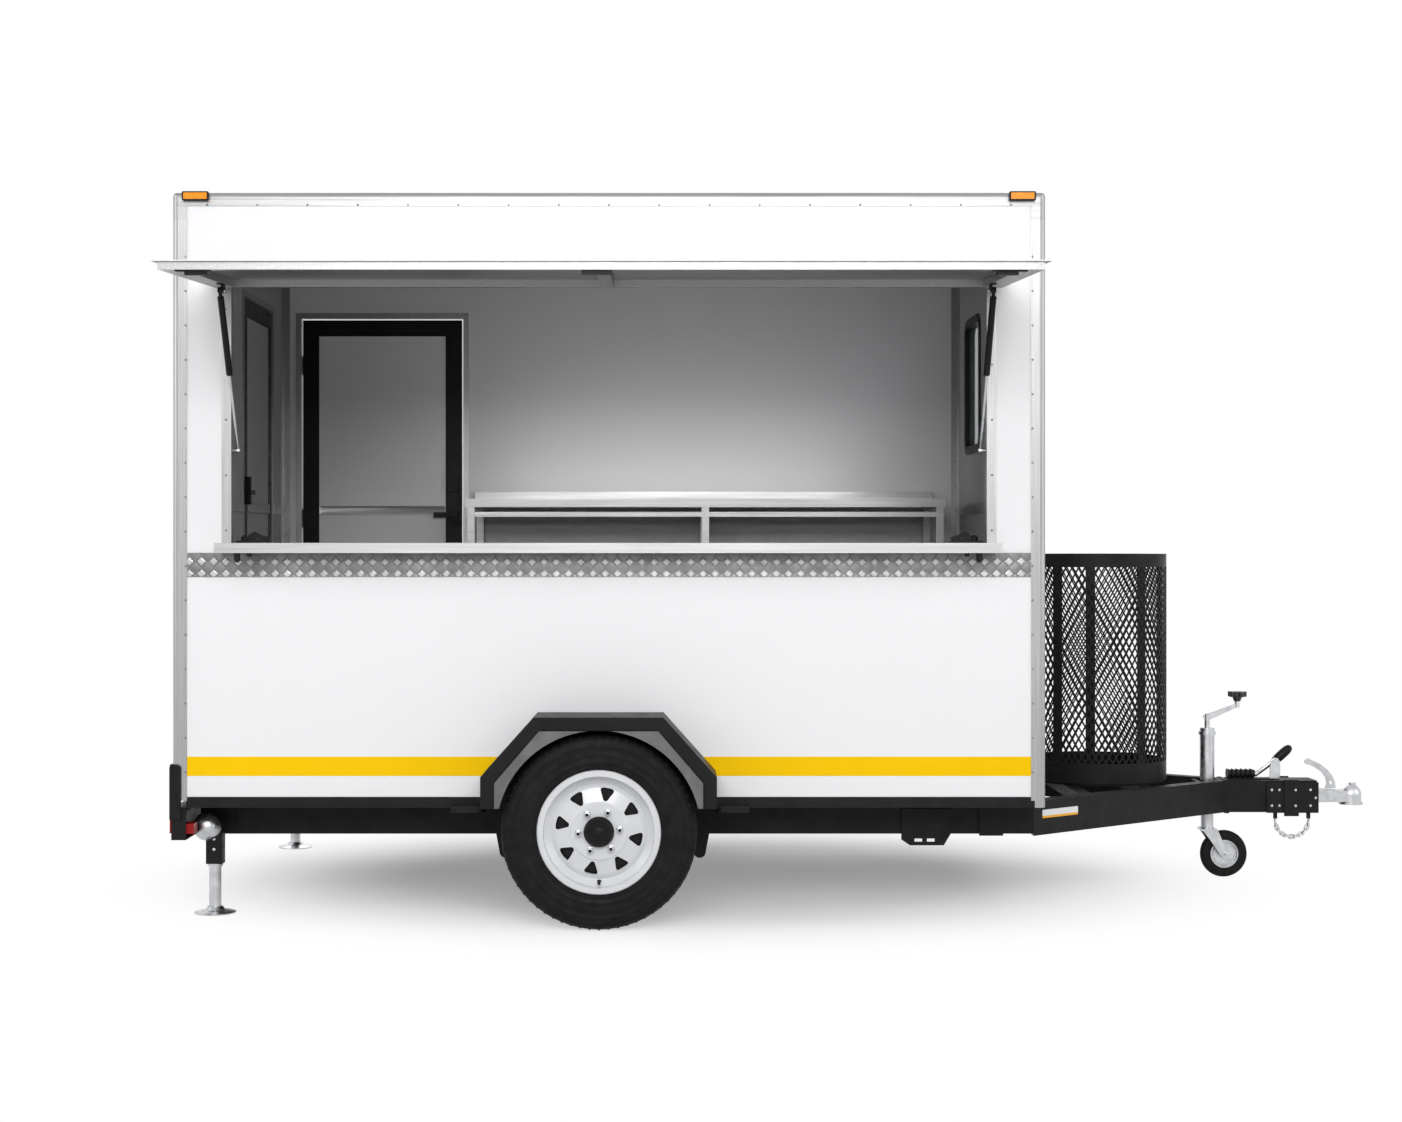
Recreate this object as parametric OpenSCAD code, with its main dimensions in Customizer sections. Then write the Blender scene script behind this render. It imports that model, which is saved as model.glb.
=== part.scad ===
// Food trailer: a single-axle box body with a lifting serving hatch on its right side.
// The origin is on the ground under the middle of the axle; +X points forward, +Z up.

/* [Body] */
// Length of the box body
body_l = 3000; // [2800:50:3400]
// Width of the box body
body_w = 2000; // [1900:20:2100]
// Height of the box body
body_h = 2090; // [2000:10:2300]
// Height of the body's underside above the ground
body_z = 412; // [400:4:460]
// Distance from the rear wall to the axle
axle_from_rear = 1471; // [1400:10:1600]
// Thickness of walls and roof, skins and core together
wall_t = 35; // [25:1:45]
// Thickness of the floor
floor_t = 38; // [25:1:50]
// Width of the corner post's core, also the rail's height and depth
post_core = 38; // [38:1:50]
// Width of the flange that covers a panel's edge
post_flange = 13; // [8:1:20]
// Thickness of that flange
flange_t = 3; // [2:0.5:4]
// Radius of the body's outer edges
edge_r = 20; // [8:1:28]

/* [Serving opening] */
// Width of wall left beside the opening at each end
jamb_w = 200; // [150:10:500]
// Height of the opening's sill above the body's underside
sill_h = 851; // [780:1:900]
// Height of the opening, sill to header
open_h = 941; // [860:1:1000]
// Thickness of the opening's aluminium lining
lining_t = 3; // [2:0.5:4]
// Width of the trim round the opening, on the wall's face
trim_w = 30; // [15:1:40]
// Angle by which the open hatch hangs below level
hatch_droop = 3; // [0:1:10]
// Thickness of the hatch's outer skin
skin_t = 3; // [2:0.5:4]
// Depth of the hatch's frame tube
frame_d = 25; // [18:1:25]
// Width of the hatch's frame tube
frame_w = 50; // [30:1:70]

/* [Counter] */
// Thickness of the serving counter
counter_t = 34; // [20:1:45]
// Depth of the seal's groove in the counter
seal_d = 2; // [1:0.5:4]
// How far the counter stands out of the serving wall
counter_out = 130; // [80:5:300]
// How far the counter reaches into the cabin
counter_in = 95; // [40:5:150]
// Height of the tread plate strip below the counter
tread_h = 83; // [50:1:120]

/* [Gas struts] */
// Distance of the strut's upper pin from the hatch hinge
strut_r = 250; // [240:1:255]
// Distance of the strut's lower pin below the hatch hinge
strut_drop = 580; // [576:1:590]
// Diameter of the strut's cylinder
strut_d = 22; // [16:1:24]
// Diameter of the strut's rod
strut_rod_d = 10; // [8:1:12]

/* [Doors] */
// Width of the rear doorway
rear_door_w = 620; // [500:10:700]
// Middle of the rear doorway, to the left of the middle of the body
rear_door_y = 400; // [330:10:480]
// Width of the side doorway
side_door_w = 700; // [600:10:740]
// Distance from the rear wall's face to the side doorway
side_door_in = 118; // [110:1:200]
// Height of both doorways above the floor
door_h = 1820; // [1700:10:1860]
// Space between a door and its doorway
door_gap = 6; // [5:0.5:10]
// Width of the doors' black frame
door_frame_w = 70; // [40:1:90]

/* [Window] */
// Width of the front window
window_w = 400; // [300:10:500]
// Height of the front window
window_h = 520; // [400:10:600]
// Height of the window's lower edge above the floor
window_up = 1240; // [1100:10:1300]
// Distance of the window's middle to the left of the body's middle
window_y = 530; // [400:10:560]

/* [Work table] */
// Height of the table above the floor
table_h = 1030; // [850:10:1040]
// Length of the table
table_l = 1974; // [1500:10:2000]
// Depth of the table from the far wall
table_d = 510; // [400:10:600]

/* [Wheels] */
// Outer diameter of a tyre
tyre_d = 660; // [620:5:690]
// Width of a tyre
tyre_w = 205; // [175:5:225]
// Space between a tyre and the body's side
tyre_gap = 12; // [10:1:40]
// Diameter of the rim at its flange
rim_d = 416; // [390:1:430]
// Number of studs that hold a wheel
stud_n = 6; // [4:1:6]
// Diameter of the circle that the studs lie on
stud_pcd = 139.7; // [112:0.1:139.7]

/* [Chassis] */
// Height of the chassis rails and the drawbar
rail_h = 122; // [100:1:130]
// Width of a chassis rail
rail_w = 60; // [40:1:80]
// Distance of a rail's outer face in from the body's side
rail_in = 250; // [248:1:300]
// Number of cross members
cross_n = 6; // [4:1:8]
// Length of the drawbar from the front wall to the coupling
drawbar_l = 1211; // [1100:10:1400]
// Width of the drawbar's straight front part
tongue_w = 120; // [100:5:140]
// Length of the drawbar's straight front part
tongue_l = 350; // [300:10:400]
// Diameter of the coupling's ball
ball_d = 50; // [50:0.8:50.8]

/* [Gas cage] */
// Diameter of the gas bottle cage
cage_d = 540; // [400:10:560]
// Height of the gas bottle cage
cage_h = 868; // [600:10:1000]
// Space between the cage and the front wall
cage_gap = 96; // [60:1:110]
// Number of upright bars in the cage
cage_bars = 5; // [4:1:8]
// Strands of mesh in each direction
mesh_n = 20; // [12:2:24]

/* [Jockey wheel] */
// Diameter of the jockey wheel
jockey_wheel_d = 182; // [160:2:182]
// Diameter of the stand's tube
jockey_tube_d = 56; // [48:1:60]
// Height of the tube's top above the drawbar
jockey_up = 199; // [150:5:240]

/* [Rear legs] */
// Diameter of a leg's tube
jack_tube_d = 42; // [34:1:44]
// Diameter of a leg's foot plate
jack_foot_d = 144; // [110:2:150]
// Diameter of the domed cap on a leg's pivot
jack_cap_d = 100; // [70:2:104]

/* [Hidden] */
$fn = 48;

// Body planes
rear_x = -axle_from_rear;
front_x = rear_x + body_l;
mid_x = (rear_x + front_x) / 2;
side_y = body_w / 2;
roof_z = body_z + body_h;
face_y = side_y - flange_t;
in_y = side_y - wall_t;
in_x0 = rear_x + wall_t;
in_x1 = front_x - wall_t;
floor_z = body_z + floor_t;
ceiling_z = roof_z - post_core;
post_w = post_core + post_flange;
inner_flange = 30;
inner_t = post_core - wall_t;
cap_h = post_w + 45;

// Serving opening
open_w = body_l - 2 * jamb_w;
sill_z = body_z + sill_h;
header_z = sill_z + open_h;
counter_z = sill_z + counter_t;

// Hatch, drawn about its hinge: y points into the cabin and z up when it is closed
hinge_out = 34;
hinge_y = -(side_y + hinge_out);
hinge_z = header_z - 8;
hinge_bead_r = 5;
hinge_shell_r = 9;
run_gap = 0.05;
hatch_len = hinge_z - counter_z - 6;
hatch_frame_len = hatch_len - 13;
skin_w = open_w + 118;
skin_lap = 20;
hatch_w = skin_w - 2 * skin_lap;
frame_side_w = frame_w + 20;
skin_y = 1;
frame_y = skin_y + skin_t;
hatch_swing = 90 - hatch_droop;

// Gas strut: pins at the hatch and at the jamb, and the lengths between them
strut_off = frame_y + frame_d + 21;
strut_foot_y = hinge_out + 36;
strut_x = open_w / 2 - lining_t - 5 - strut_d / 2 - 2;
function turn_x(p, a) = [p[0] * cos(a) - p[1] * sin(a), p[0] * sin(a) + p[1] * cos(a)];
strut_top_open = turn_x([strut_off, -strut_r], -hatch_swing);
strut_foot = [strut_foot_y, -strut_drop];
strut_dir = strut_foot - strut_top_open;
strut_open_l = norm(strut_dir);
strut_closed_l = norm(strut_foot - [strut_off, -strut_r]);
strut_stroke = strut_open_l - strut_closed_l;
strut_angle = atan2(strut_dir[1], strut_dir[0]);
strut_eye_r = 10;
strut_eye_t = 12;
strut_pin_r = 4;
strut_cyl_l = strut_closed_l - strut_eye_r - 7;

// Doorways
rear_door_y0 = rear_door_y - rear_door_w / 2;
side_door_x0 = rear_x + side_door_in;
door_sill = 12;
door_z0 = floor_z + door_sill;
door_z1 = floor_z + door_h;

// Wheels
tyre_r = tyre_d / 2;
rim_r = rim_d / 2;
seat_r = rim_r - 18;
rim_half_w = tyre_w / 2 - 14;
wheel_y = side_y + tyre_gap + tyre_w / 2;
disc_z = 44;
stub_r = 20;

// Fender round the wheel
fender_t = 4;
fender_out = 234;
fender_half = tyre_r + 64;
fender_flat = 216;
fender_top = tyre_d + 56;
fender_knee = tyre_d - 143;
fender_lip = 40;
arch_r = tyre_r + 12;

// Chassis
lip_h = 24;
rail_y = side_y - rail_in;
rail_top = body_z - lip_h;
rail_z = rail_top - rail_h;
rail_t = 6;
beam_top = rail_top - 8;
beam_z = beam_top - rail_h;
beam_w = 60;
tongue_x1 = front_x + drawbar_l;
apex_x = tongue_x1 - tongue_l;
coupling_z = beam_z + rail_h / 2;
ball_x = tongue_x1 + 148;

// Gas cage
cage_x = front_x + cage_gap + cage_d / 2;
cage_z = beam_top + 8;
cage_band_low = 75;
cage_band_top = 50;
cage_t = 3;

// Jockey wheel and its stand
jockey_x = apex_x - beam_w;
jockey_tube_r = jockey_tube_d / 2;
jockey_inner_r = jockey_tube_r - 4;
jockey_wheel_r = jockey_wheel_d / 2;
jockey_trail = 63;
jockey_top = beam_top + jockey_up;

// Rear jack legs
jack_x = rear_x + 91;
jack_z = rail_z + 40;
jack_y = rail_y + 82;
jack_off = 23;
jack_tube_r = jack_tube_d / 2;
jack_foot_r = jack_foot_d / 2;
jack_cap_r = jack_cap_d / 2;

// A box between two opposite corners
module block(lo, hi) {
    translate(lo) cube(hi - lo);
}

module both_sides() {
    children();
    mirror([0, 1, 0]) children();
}

// A square corner block with one rounded corner at the origin
module rounded_corner(w, d, r) {
    union() {
        translate([r, 0]) square([w - r, d]);
        translate([0, r]) square([w, d - r]);
        intersection() {
            translate([r, r]) circle(r);
            square(r);
        }
    }
}

module rounded_rect(w, h, r) {
    union() {
        translate([r, 0]) square([w - 2 * r, h]);
        translate([0, r]) square([w, h - 2 * r]);
        for (x = [r, w - r]) for (y = [r, h - r]) translate([x, y]) circle(r);
    }
}

// Upright slab in the XZ plane between two Y planes
module slab_xz(y0, y1) {
    translate([0, y1, 0]) rotate([90, 0, 0]) linear_extrude(y1 - y0) children();
}

// Upright slab in the YZ plane between two X planes
module slab_yz(x0, x1) {
    translate([x0, 0, 0]) rotate([90, 0, 90]) linear_extrude(x1 - x0) children();
}

/* ---- Body panels ---- */

module serving_wall() {
    color("whitesmoke") slab_xz(-face_y, -in_y) difference() {
        translate([rear_x + post_core, body_z]) square([body_l - 2 * post_core, ceiling_z - body_z]);
        translate([mid_x - open_w / 2, sill_z]) square([open_w, open_h]);
    }
}

module far_wall() {
    color("whitesmoke") slab_xz(in_y, face_y) difference() {
        translate([rear_x + post_core, body_z]) square([body_l - 2 * post_core, ceiling_z - body_z]);
        translate([side_door_x0, door_z0]) square([side_door_w, door_z1 - door_z0]);
    }
}

module end_wall_outline() {
    translate([-(side_y - post_core), body_z]) square([body_w - 2 * post_core, ceiling_z - body_z]);
}

module rear_wall() {
    color("whitesmoke") slab_yz(rear_x + flange_t, in_x0) difference() {
        end_wall_outline();
        translate([rear_door_y0, door_z0]) square([rear_door_w, door_z1 - door_z0]);
    }
}

window_y0 = window_y - window_w / 2;
window_z0 = floor_z + window_up;
window_r = 50;
window_frame_w = 22;

module front_wall() {
    color("whitesmoke") slab_yz(in_x1, front_x - flange_t) difference() {
        end_wall_outline();
        translate([window_y0, window_z0]) rounded_rect(window_w, window_h, window_r);
    }
}

module window_ring(grow, shrink) {
    difference() {
        translate([window_y0 - grow, window_z0 - grow])
            rounded_rect(window_w + 2 * grow, window_h + 2 * grow, window_r + grow);
        translate([window_y0 + shrink, window_z0 + shrink])
            rounded_rect(window_w - 2 * shrink, window_h - 2 * shrink, window_r - shrink);
    }
}

module window_frame() {
    color("black") {
        slab_yz(in_x1 - 6, in_x1) window_ring(window_frame_w, 12);
        slab_yz(in_x1, front_x - flange_t) window_ring(0, 12);
        slab_yz(front_x - flange_t, front_x + 3) window_ring(window_frame_w, 12);
    }
}

module window_glass() {
    color("lightblue", 0.4) slab_yz(in_x1 + wall_t / 2 - 4, in_x1 + wall_t / 2)
        translate([window_y0 + 12, window_z0 + 12])
            rounded_rect(window_w - 24, window_h - 24, window_r - 12);
}

module floor_panel() {
    color("dimgray") difference() {
        block([in_x0, -in_y, body_z], [in_x1, in_y, floor_z]);
        for (x = [rear_x, front_x - post_core]) for (y = [-side_y, side_y - post_core])
            translate([x, y, body_z - 1]) cube([post_core, post_core, floor_t + 2]);
    }
}

module roof() {
    color("whitesmoke") block([rear_x + post_core, -(side_y - post_core), roof_z - post_core],
                              [front_x - post_core, side_y - post_core, roof_z - flange_t]);
}

// Post profile with its rounded corner at the origin
module post_profile() {
    rounded_corner(post_core, post_core, edge_r);
    translate([post_core, 0]) square([post_flange, flange_t]);
    translate([0, post_core]) square([flange_t, post_flange]);
}

// Puts a shape drawn for the corner at the origin on each of the body's four corners
module at_corners() {
    for (front = [0, 1]) for (left = [0, 1])
        translate([front ? front_x : rear_x, left ? side_y : -side_y, 0])
            mirror([front, 0, 0]) mirror([0, left, 0]) children();
}

module corner_posts() {
    color("silver") {
        at_corners() {
            translate([0, 0, body_z]) linear_extrude(body_h - cap_h) post_profile();
            // Flanges that cover the panels' edges inside the cabin
            translate([0, 0, floor_z]) linear_extrude(roof_z - cap_h - floor_z) {
                translate([wall_t, wall_t]) square([inner_t + inner_flange, inner_t]);
                translate([wall_t, wall_t]) square([inner_t, inner_t + inner_flange]);
            }
        }
        // The front posts run down over the chassis lip
        for (left = [0, 1]) mirror([0, left, 0]) translate([front_x, -side_y, rail_top])
            mirror([1, 0, 0]) linear_extrude(lip_h) rounded_corner(post_core, post_core, edge_r);
    }
}

// Rail profile: x is depth from the outer face, y is height below the roof line
module rail_profile() {
    difference() {
        rounded_corner(post_core, post_core, edge_r);
        translate([-1, post_core - 12]) square([2.5, 2]);
    }
    translate([0, post_core]) square([flange_t, 10]);
    translate([post_core, 0]) square([22, flange_t]);
    // Flanges that cover the panels' edges inside the cabin
    translate([wall_t, post_core]) square([inner_t, inner_flange]);
    translate([wall_t, post_core]) square([inner_t + inner_flange, inner_t]);
}

module corner_cap() {
    difference() {
        intersection() {
            translate([0, 0, -cap_h]) linear_extrude(cap_h) rounded_corner(post_w, post_w, edge_r);
            translate([0, post_w, 0]) rotate([90, 0, 0]) linear_extrude(post_w)
                mirror([0, 1]) rounded_corner(post_w, cap_h, edge_r);
            rotate([90, 0, 90]) linear_extrude(post_w) mirror([0, 1]) rounded_corner(post_w, cap_h, edge_r);
        }
        translate([post_core, flange_t, -cap_h - 1]) cube([post_w, post_w, cap_h + 1 - post_core]);
        translate([flange_t, post_core, -cap_h - 1]) cube([post_w, post_w, cap_h + 1 - post_core]);
        translate([post_core, post_core, -cap_h - 1]) cube([post_w, post_w, cap_h + 1 - flange_t]);
    }
}

module top_rails() {
    color("silver") {
        at_corners() translate([0, 0, roof_z]) corner_cap();
        both_sides() slab_yz(rear_x + post_w, front_x - post_w)
            translate([-side_y, roof_z]) mirror([0, 1]) rail_profile();
        for (front = [0, 1]) slab_xz(-side_y + post_w, side_y - post_w)
            translate([front ? front_x : rear_x, roof_z]) mirror([front, 0]) mirror([0, 1])
                rail_profile();
    }
}

module tread_strip() {
    color("darkgray") block([rear_x + post_w, -face_y - 3, sill_z - tread_h],
                            [front_x - post_w, -face_y, sill_z]);
}

stripe_z = body_z + 85;
stripe_h = 66;

module stripes() {
    color("gold") difference() {
        both_sides() block([rear_x + post_w, -face_y - 1, stripe_z],
                           [front_x - post_w, -face_y, stripe_z + stripe_h]);
        block([side_door_x0 - surround_w, 0, body_z],
              [side_door_x0 + side_door_w + surround_w, side_y, door_z1]);
    }
}

/* ---- Serving hatch ---- */

counter_half = open_w / 2 + trim_w;

module counter() {
    groove_y = hinge_y + frame_y + frame_d / 2;
    color("lightgray") difference() {
        union() {
            block([mid_x - counter_half, -side_y - counter_out, sill_z],
                  [mid_x + counter_half, -face_y - 3, counter_z]);
            block([mid_x - open_w / 2 + 2, -face_y - 3, sill_z],
                  [mid_x + open_w / 2 - 2, -side_y + counter_in + wall_t, counter_z]);
        }
        // Groove for the seal that the shut hatch meets
        block([mid_x - counter_half - 1, groove_y - 3, counter_z - seal_d],
              [mid_x + counter_half + 1, groove_y + 3, counter_z + 1]);
        // Two drawn lines along the front edge, and the hollow underneath
        for (up = [counter_t * 0.3, counter_t * 0.72])
            block([mid_x - counter_half - 1, -side_y - counter_out - 1, sill_z + up],
                  [mid_x + counter_half + 1, -side_y - counter_out + 1.5, sill_z + up + 2]);
        block([mid_x - counter_half + 3, -side_y - counter_out + 12, sill_z - 1],
              [mid_x + counter_half - 3, -face_y - 12, counter_z - seal_d - 3]);
    }
}

// Base plate, and a curved lever with its round knob, lying in the counter's corner
module counter_latch() {
    block([0, 0, 0], [112, 34, 8]);
    translate([28, 17, 8]) cylinder(r = 13, h = 14);
    translate([28, 17, 22]) cylinder(r = 8, h = 5);
    translate([0, 12, 8]) rotate([90, 0, 0]) linear_extrude(10) difference() {
        polygon([[40, 0], [104, 0], [114, 10], [84, 20], [66, 32], [52, 26], [36, 12]]);
        translate([74, 8]) circle(4);
    }
    translate([100, 12, 14]) rotate([90, 0, 0]) cylinder(r = 10, h = 10);
}

module counter_latches() {
    color("black") for (front = [0, 1]) translate([mid_x, 0, 0]) mirror([front, 0, 0]) {
        translate([-open_w / 2 + lining_t + 6, -in_y + 14, counter_z]) counter_latch();
        translate([-open_w / 2 + 44, -side_y - counter_out + 22, sill_z - 26]) cylinder(r = 11, h = 26);
        translate([-open_w / 2 + 44, -side_y - counter_out + 22, sill_z - 32]) cylinder(r = 8, h = 6);
        translate([-open_w / 2 + 86, -side_y - counter_out + 22, sill_z - 12]) cylinder(r = 8, h = 12);
    }
}

// Trim on the wall's face, lining through the wall, and the fixed half of the hinge
module hatch_trim() {
    color("silver") {
        slab_xz(-face_y - 3, -face_y) difference() {
            translate([mid_x - open_w / 2 - trim_w, counter_z])
                square([open_w + 2 * trim_w, header_z - counter_z + trim_w]);
            translate([mid_x - open_w / 2, counter_z - 1]) square([open_w, header_z - counter_z + 1]);
        }
        slab_xz(-face_y - 3, -in_y + 3) difference() {
            translate([mid_x - open_w / 2, counter_z]) square([open_w, header_z - counter_z]);
            translate([mid_x - open_w / 2 + lining_t, counter_z - 1])
                square([open_w - 2 * lining_t, header_z - counter_z - lining_t + 1]);
        }
        hinge_rail();
        for (side = [-1, 1]) strut_stud(side);
    }
}

// The fixed half: a shell that holds the hatch's bead, on an angle screwed to the trim
module hinge_rail() {
    translate([mid_x - skin_w / 2, hinge_y, hinge_z]) rotate([90, 0, 90]) linear_extrude(skin_w) {
        difference() {
            circle(hinge_shell_r);
            circle(hinge_bead_r + run_gap);
            polygon([[0, 0], [-40, 23], [-40, -40], [20, -34.6]]);
        }
        difference() {
            union() {
                translate([4, 4]) square([hinge_out - 4, 4]);
                translate([hinge_out - 4, 4]) square([5, trim_w + 6]);
            }
            circle(hinge_bead_r + run_gap);
        }
    }
}

// Stud that the strut's lower end seats beside, on the jamb's lining
module strut_stud(side) {
    reach = open_w / 2 - lining_t - strut_x - strut_eye_t / 2 - 2;
    translate([mid_x + side * (open_w / 2 - lining_t), hinge_y + strut_foot[0], hinge_z + strut_foot[1]])
        rotate([0, -side * 90, 0]) {
            translate([0, 0, -1]) cylinder(r = 9, h = 3);
            cylinder(r = 5, h = reach);
        }
}

// Places what is drawn for the closed hatch at its open pose
module hatch_pose() {
    translate([mid_x, hinge_y, hinge_z]) rotate([-hatch_swing, 0, 0]) children();
}

module hatch_skin() {
    color("whitesmoke") hatch_pose()
        translate([-skin_w / 2, skin_y, -hatch_len]) cube([skin_w, skin_t, hatch_len - 14]);
}

module hatch_frame() {
    color("silver") hatch_pose() {
        // Ring of square tube with a middle rib, fixed inside the skin
        slab_xz(frame_y, frame_y + frame_d) difference() {
            translate([-hatch_w / 2, -hatch_frame_len]) square([hatch_w, hatch_frame_len - 20]);
            for (side = [0, 1]) mirror([side, 0]) translate([20, frame_w - hatch_frame_len])
                square([hatch_w / 2 - frame_side_w - 20, hatch_frame_len - 20 - 2 * frame_w]);
        }
        // Moving half of the hinge: a bead in the fixed shell, and its leaf over the skin
        translate([-skin_w / 2, 0, 0]) rotate([90, 0, 90]) linear_extrude(skin_w) {
            circle(hinge_bead_r);
            translate([-2, -14]) square([4, 11]);
            translate([-2, -40]) square([3, 27]);
        }
    }
}

// Upper strut bracket and its pin, and the latch keepers on the free edge
module hatch_hardware() {
    inner = frame_y + frame_d;
    color("black") hatch_pose() {
        for (side = [0, 1]) mirror([side, 0, 0]) {
            translate([strut_x - strut_eye_t / 2 - 8, inner, -strut_r - 24]) cube([6, 21, 48]);
            translate([strut_x - strut_eye_t / 2 - 8, inner + 21, -strut_r]) rotate([0, 90, 0])
                cylinder(r = 12, h = 6);
            translate([strut_x - strut_eye_t / 2 - 8, inner, -strut_r - 24]) cube([20, 4, 48]);
            translate([strut_x - strut_eye_t / 2 - 2, inner + 21, -strut_r]) rotate([0, 90, 0])
                cylinder(r = strut_pin_r, h = strut_eye_t + 2);
            // Latch plate with its hooked keeper
            translate([open_w / 2 - lining_t - 112, inner, 6 - hatch_frame_len]) {
                cube([104, 5, 38]);
                translate([12, 0, 6]) cube([64, 16, 24]);
            }
        }
        translate([-60, inner, 8 - hatch_frame_len]) cube([90, 14, 34]);
    }
}

// Cylinder and rod are drawn along +X from the upper pin and laid at their open pose
module strut_pose(side) {
    translate([mid_x + side * strut_x, hinge_y + strut_top_open[0], hinge_z + strut_top_open[1]])
        rotate([strut_angle, 0, 0]) rotate([0, 0, 90]) children();
}

module strut_cylinder(side) {
    color([0.1, 0.1, 0.1]) strut_pose(side) difference() {
        union() {
            rotate([90, 0, 0]) cylinder(r = strut_eye_r, h = strut_eye_t, center = true);
            rotate([0, 90, 0]) cylinder(r = 6, h = 30);
            translate([26, 0, 0]) rotate([0, 90, 0]) cylinder(d = strut_d, h = strut_cyl_l - 26);
        }
        rotate([90, 0, 0]) cylinder(r = strut_pin_r + run_gap, h = strut_eye_t + 2, center = true);
        translate([16, 0, 0]) rotate([0, 90, 0])
            cylinder(r = strut_rod_d / 2 + run_gap, h = strut_cyl_l);
    }
}

module strut_rod(side) {
    color("silver") strut_pose(side) {
        translate([strut_stroke + 20, 0, 0]) rotate([0, 90, 0])
            cylinder(d = strut_rod_d, h = strut_closed_l - 20);
        translate([strut_open_l, 0, 0]) rotate([90, 0, 0])
            cylinder(r = strut_eye_r - 1, h = strut_eye_t, center = true);
    }
}

/* ---- Doors ---- */

// A doorway's opening grown or shrunk, drawn in its wall's plane
module doorway(w, by) {
    translate([-by, door_z0 - by]) square([w + 2 * by, door_z1 - door_z0 + 2 * by]);
}

surround_w = 24;

module surround_ring(w) {
    difference() {
        translate([-surround_w, floor_z])
            square([w + 2 * surround_w, door_z1 + surround_w - floor_z]);
        doorway(w, 0);
    }
}

module door_surrounds() {
    color("silver") {
        slab_yz(rear_x, rear_x + flange_t) translate([rear_door_y0, 0]) surround_ring(rear_door_w);
        slab_yz(in_x0, in_x0 + 4) translate([rear_door_y0, 0]) surround_ring(rear_door_w);
        slab_xz(face_y, side_y) translate([side_door_x0, 0]) surround_ring(side_door_w);
        slab_xz(in_y - 4, in_y) translate([side_door_x0, 0]) surround_ring(side_door_w);
        side_hinge_pose() door_hinge_fixed();
        rear_hinge_pose() door_hinge_fixed();
    }
}

// Door leaf in its wall's plane: the panel, and the black frame round it
module leaf_panel_2d(w) {
    doorway(w, -door_gap - door_frame_w);
}

module leaf_frame_2d(w) {
    difference() {
        doorway(w, -door_gap);
        leaf_panel_2d(w);
    }
}

// Door hinge drawn about its pin: the closed leaf runs along +X and +Y is outward
door_pin_r = 4;
door_barrel_r = 7;
door_barrel_l = 40;
door_pin_out = 9;
door_hinge_z = [door_z0 + 160, (door_z0 + door_z1) / 2, door_z1 - 240];

module door_hinge_fixed() {
    for (z = door_hinge_z) translate([0, 0, z]) {
        cylinder(r = door_barrel_r, h = door_barrel_l);
        cylinder(r = door_pin_r, h = 2 * door_barrel_l);
        translate([-door_barrel_r, -door_pin_out, 0]) cube([4, door_pin_out, door_barrel_l]);
        translate([-30, -door_pin_out, 0]) cube([26, 3, door_barrel_l]);
    }
}

module door_hinge_moving() {
    for (z = door_hinge_z) translate([0, 0, z + door_barrel_l + 0.5]) difference() {
        union() {
            cylinder(r = door_barrel_r, h = door_barrel_l);
            translate([3, -door_pin_out, 0]) cube([4, door_pin_out, door_barrel_l]);
            translate([4, -door_pin_out, 0]) cube([30, 3, door_barrel_l]);
        }
        translate([0, 0, -1]) cylinder(r = door_pin_r + run_gap, h = door_barrel_l + 2);
    }
}

module side_hinge_pose() {
    translate([side_door_x0 + door_gap / 2, side_y + door_pin_out, 0]) children();
}

module rear_hinge_pose() {
    translate([rear_x - door_pin_out, rear_door_y0 + rear_door_w - door_gap / 2, 0])
        mirror([1, 1, 0]) children();
}

module rear_door_panel() {
    color("whitesmoke") slab_yz(rear_x + 4, in_x0 - 2) translate([rear_door_y0, 0])
        leaf_panel_2d(rear_door_w);
}

module rear_door_frame() {
    color("black") {
        slab_yz(rear_x, in_x0) translate([rear_door_y0, 0]) leaf_frame_2d(rear_door_w);
        rear_hinge_pose() door_hinge_moving();
        // Lever handle inside, near the free edge
        translate([in_x0, rear_door_y0 + door_gap + 20, floor_z + 1000]) cube([22, 26, 110]);
        translate([in_x0 + 12, rear_door_y0 + door_gap + 26, floor_z + 1040]) cube([12, 90, 18]);
    }
}

module side_door_panel() {
    color("whitesmoke") slab_xz(in_y + 2, side_y - 4) translate([side_door_x0, 0])
        leaf_panel_2d(side_door_w);
}

module side_door_frame() {
    far = side_door_x0 + side_door_w - door_gap;
    color("black") {
        slab_xz(in_y, side_y) translate([side_door_x0, 0]) leaf_frame_2d(side_door_w);
        side_hinge_pose() door_hinge_moving();
        translate([far - 60, in_y - 22, floor_z + 1070]) cube([46, 22, 90]);
        translate([far - 120, in_y - 26, floor_z + 960]) cube([90, 14, 22]);
        translate([far - 44, in_y - 24, floor_z + 950]) cube([30, 24, 44]);
    }
}

/* ---- Wheels ---- */

// Puts what is drawn about +Z, with +Z outward, on the right or the left stub
module wheel_pose(side) {
    translate([0, side * wheel_y, tyre_r]) rotate([-side * 90, 0, 0]) children();
}

// Points on an arc about a centre, from one angle to another
function arc(c, r, a0, a1, n) = [for (i = [0:n]) c + [r[0] * cos(a0 + (a1 - a0) * i / n),
                                                      r[1] * sin(a0 + (a1 - a0) * i / n)]];

// One half of the tyre's outline from the crown to the bead: x is radius, y is width
shoulder = [30, tyre_w / 2 - 66];
tyre_half = concat(
    arc([tyre_r - shoulder[0], 60], shoulder, 0, 90, 4),
    arc([rim_r + 50, tyre_w / 2 - 18], [42, 18], 50, 180, 3),
    [[rim_r + 2, rim_half_w], [seat_r, rim_half_w], [seat_r, rim_half_w - 20]]
);

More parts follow.
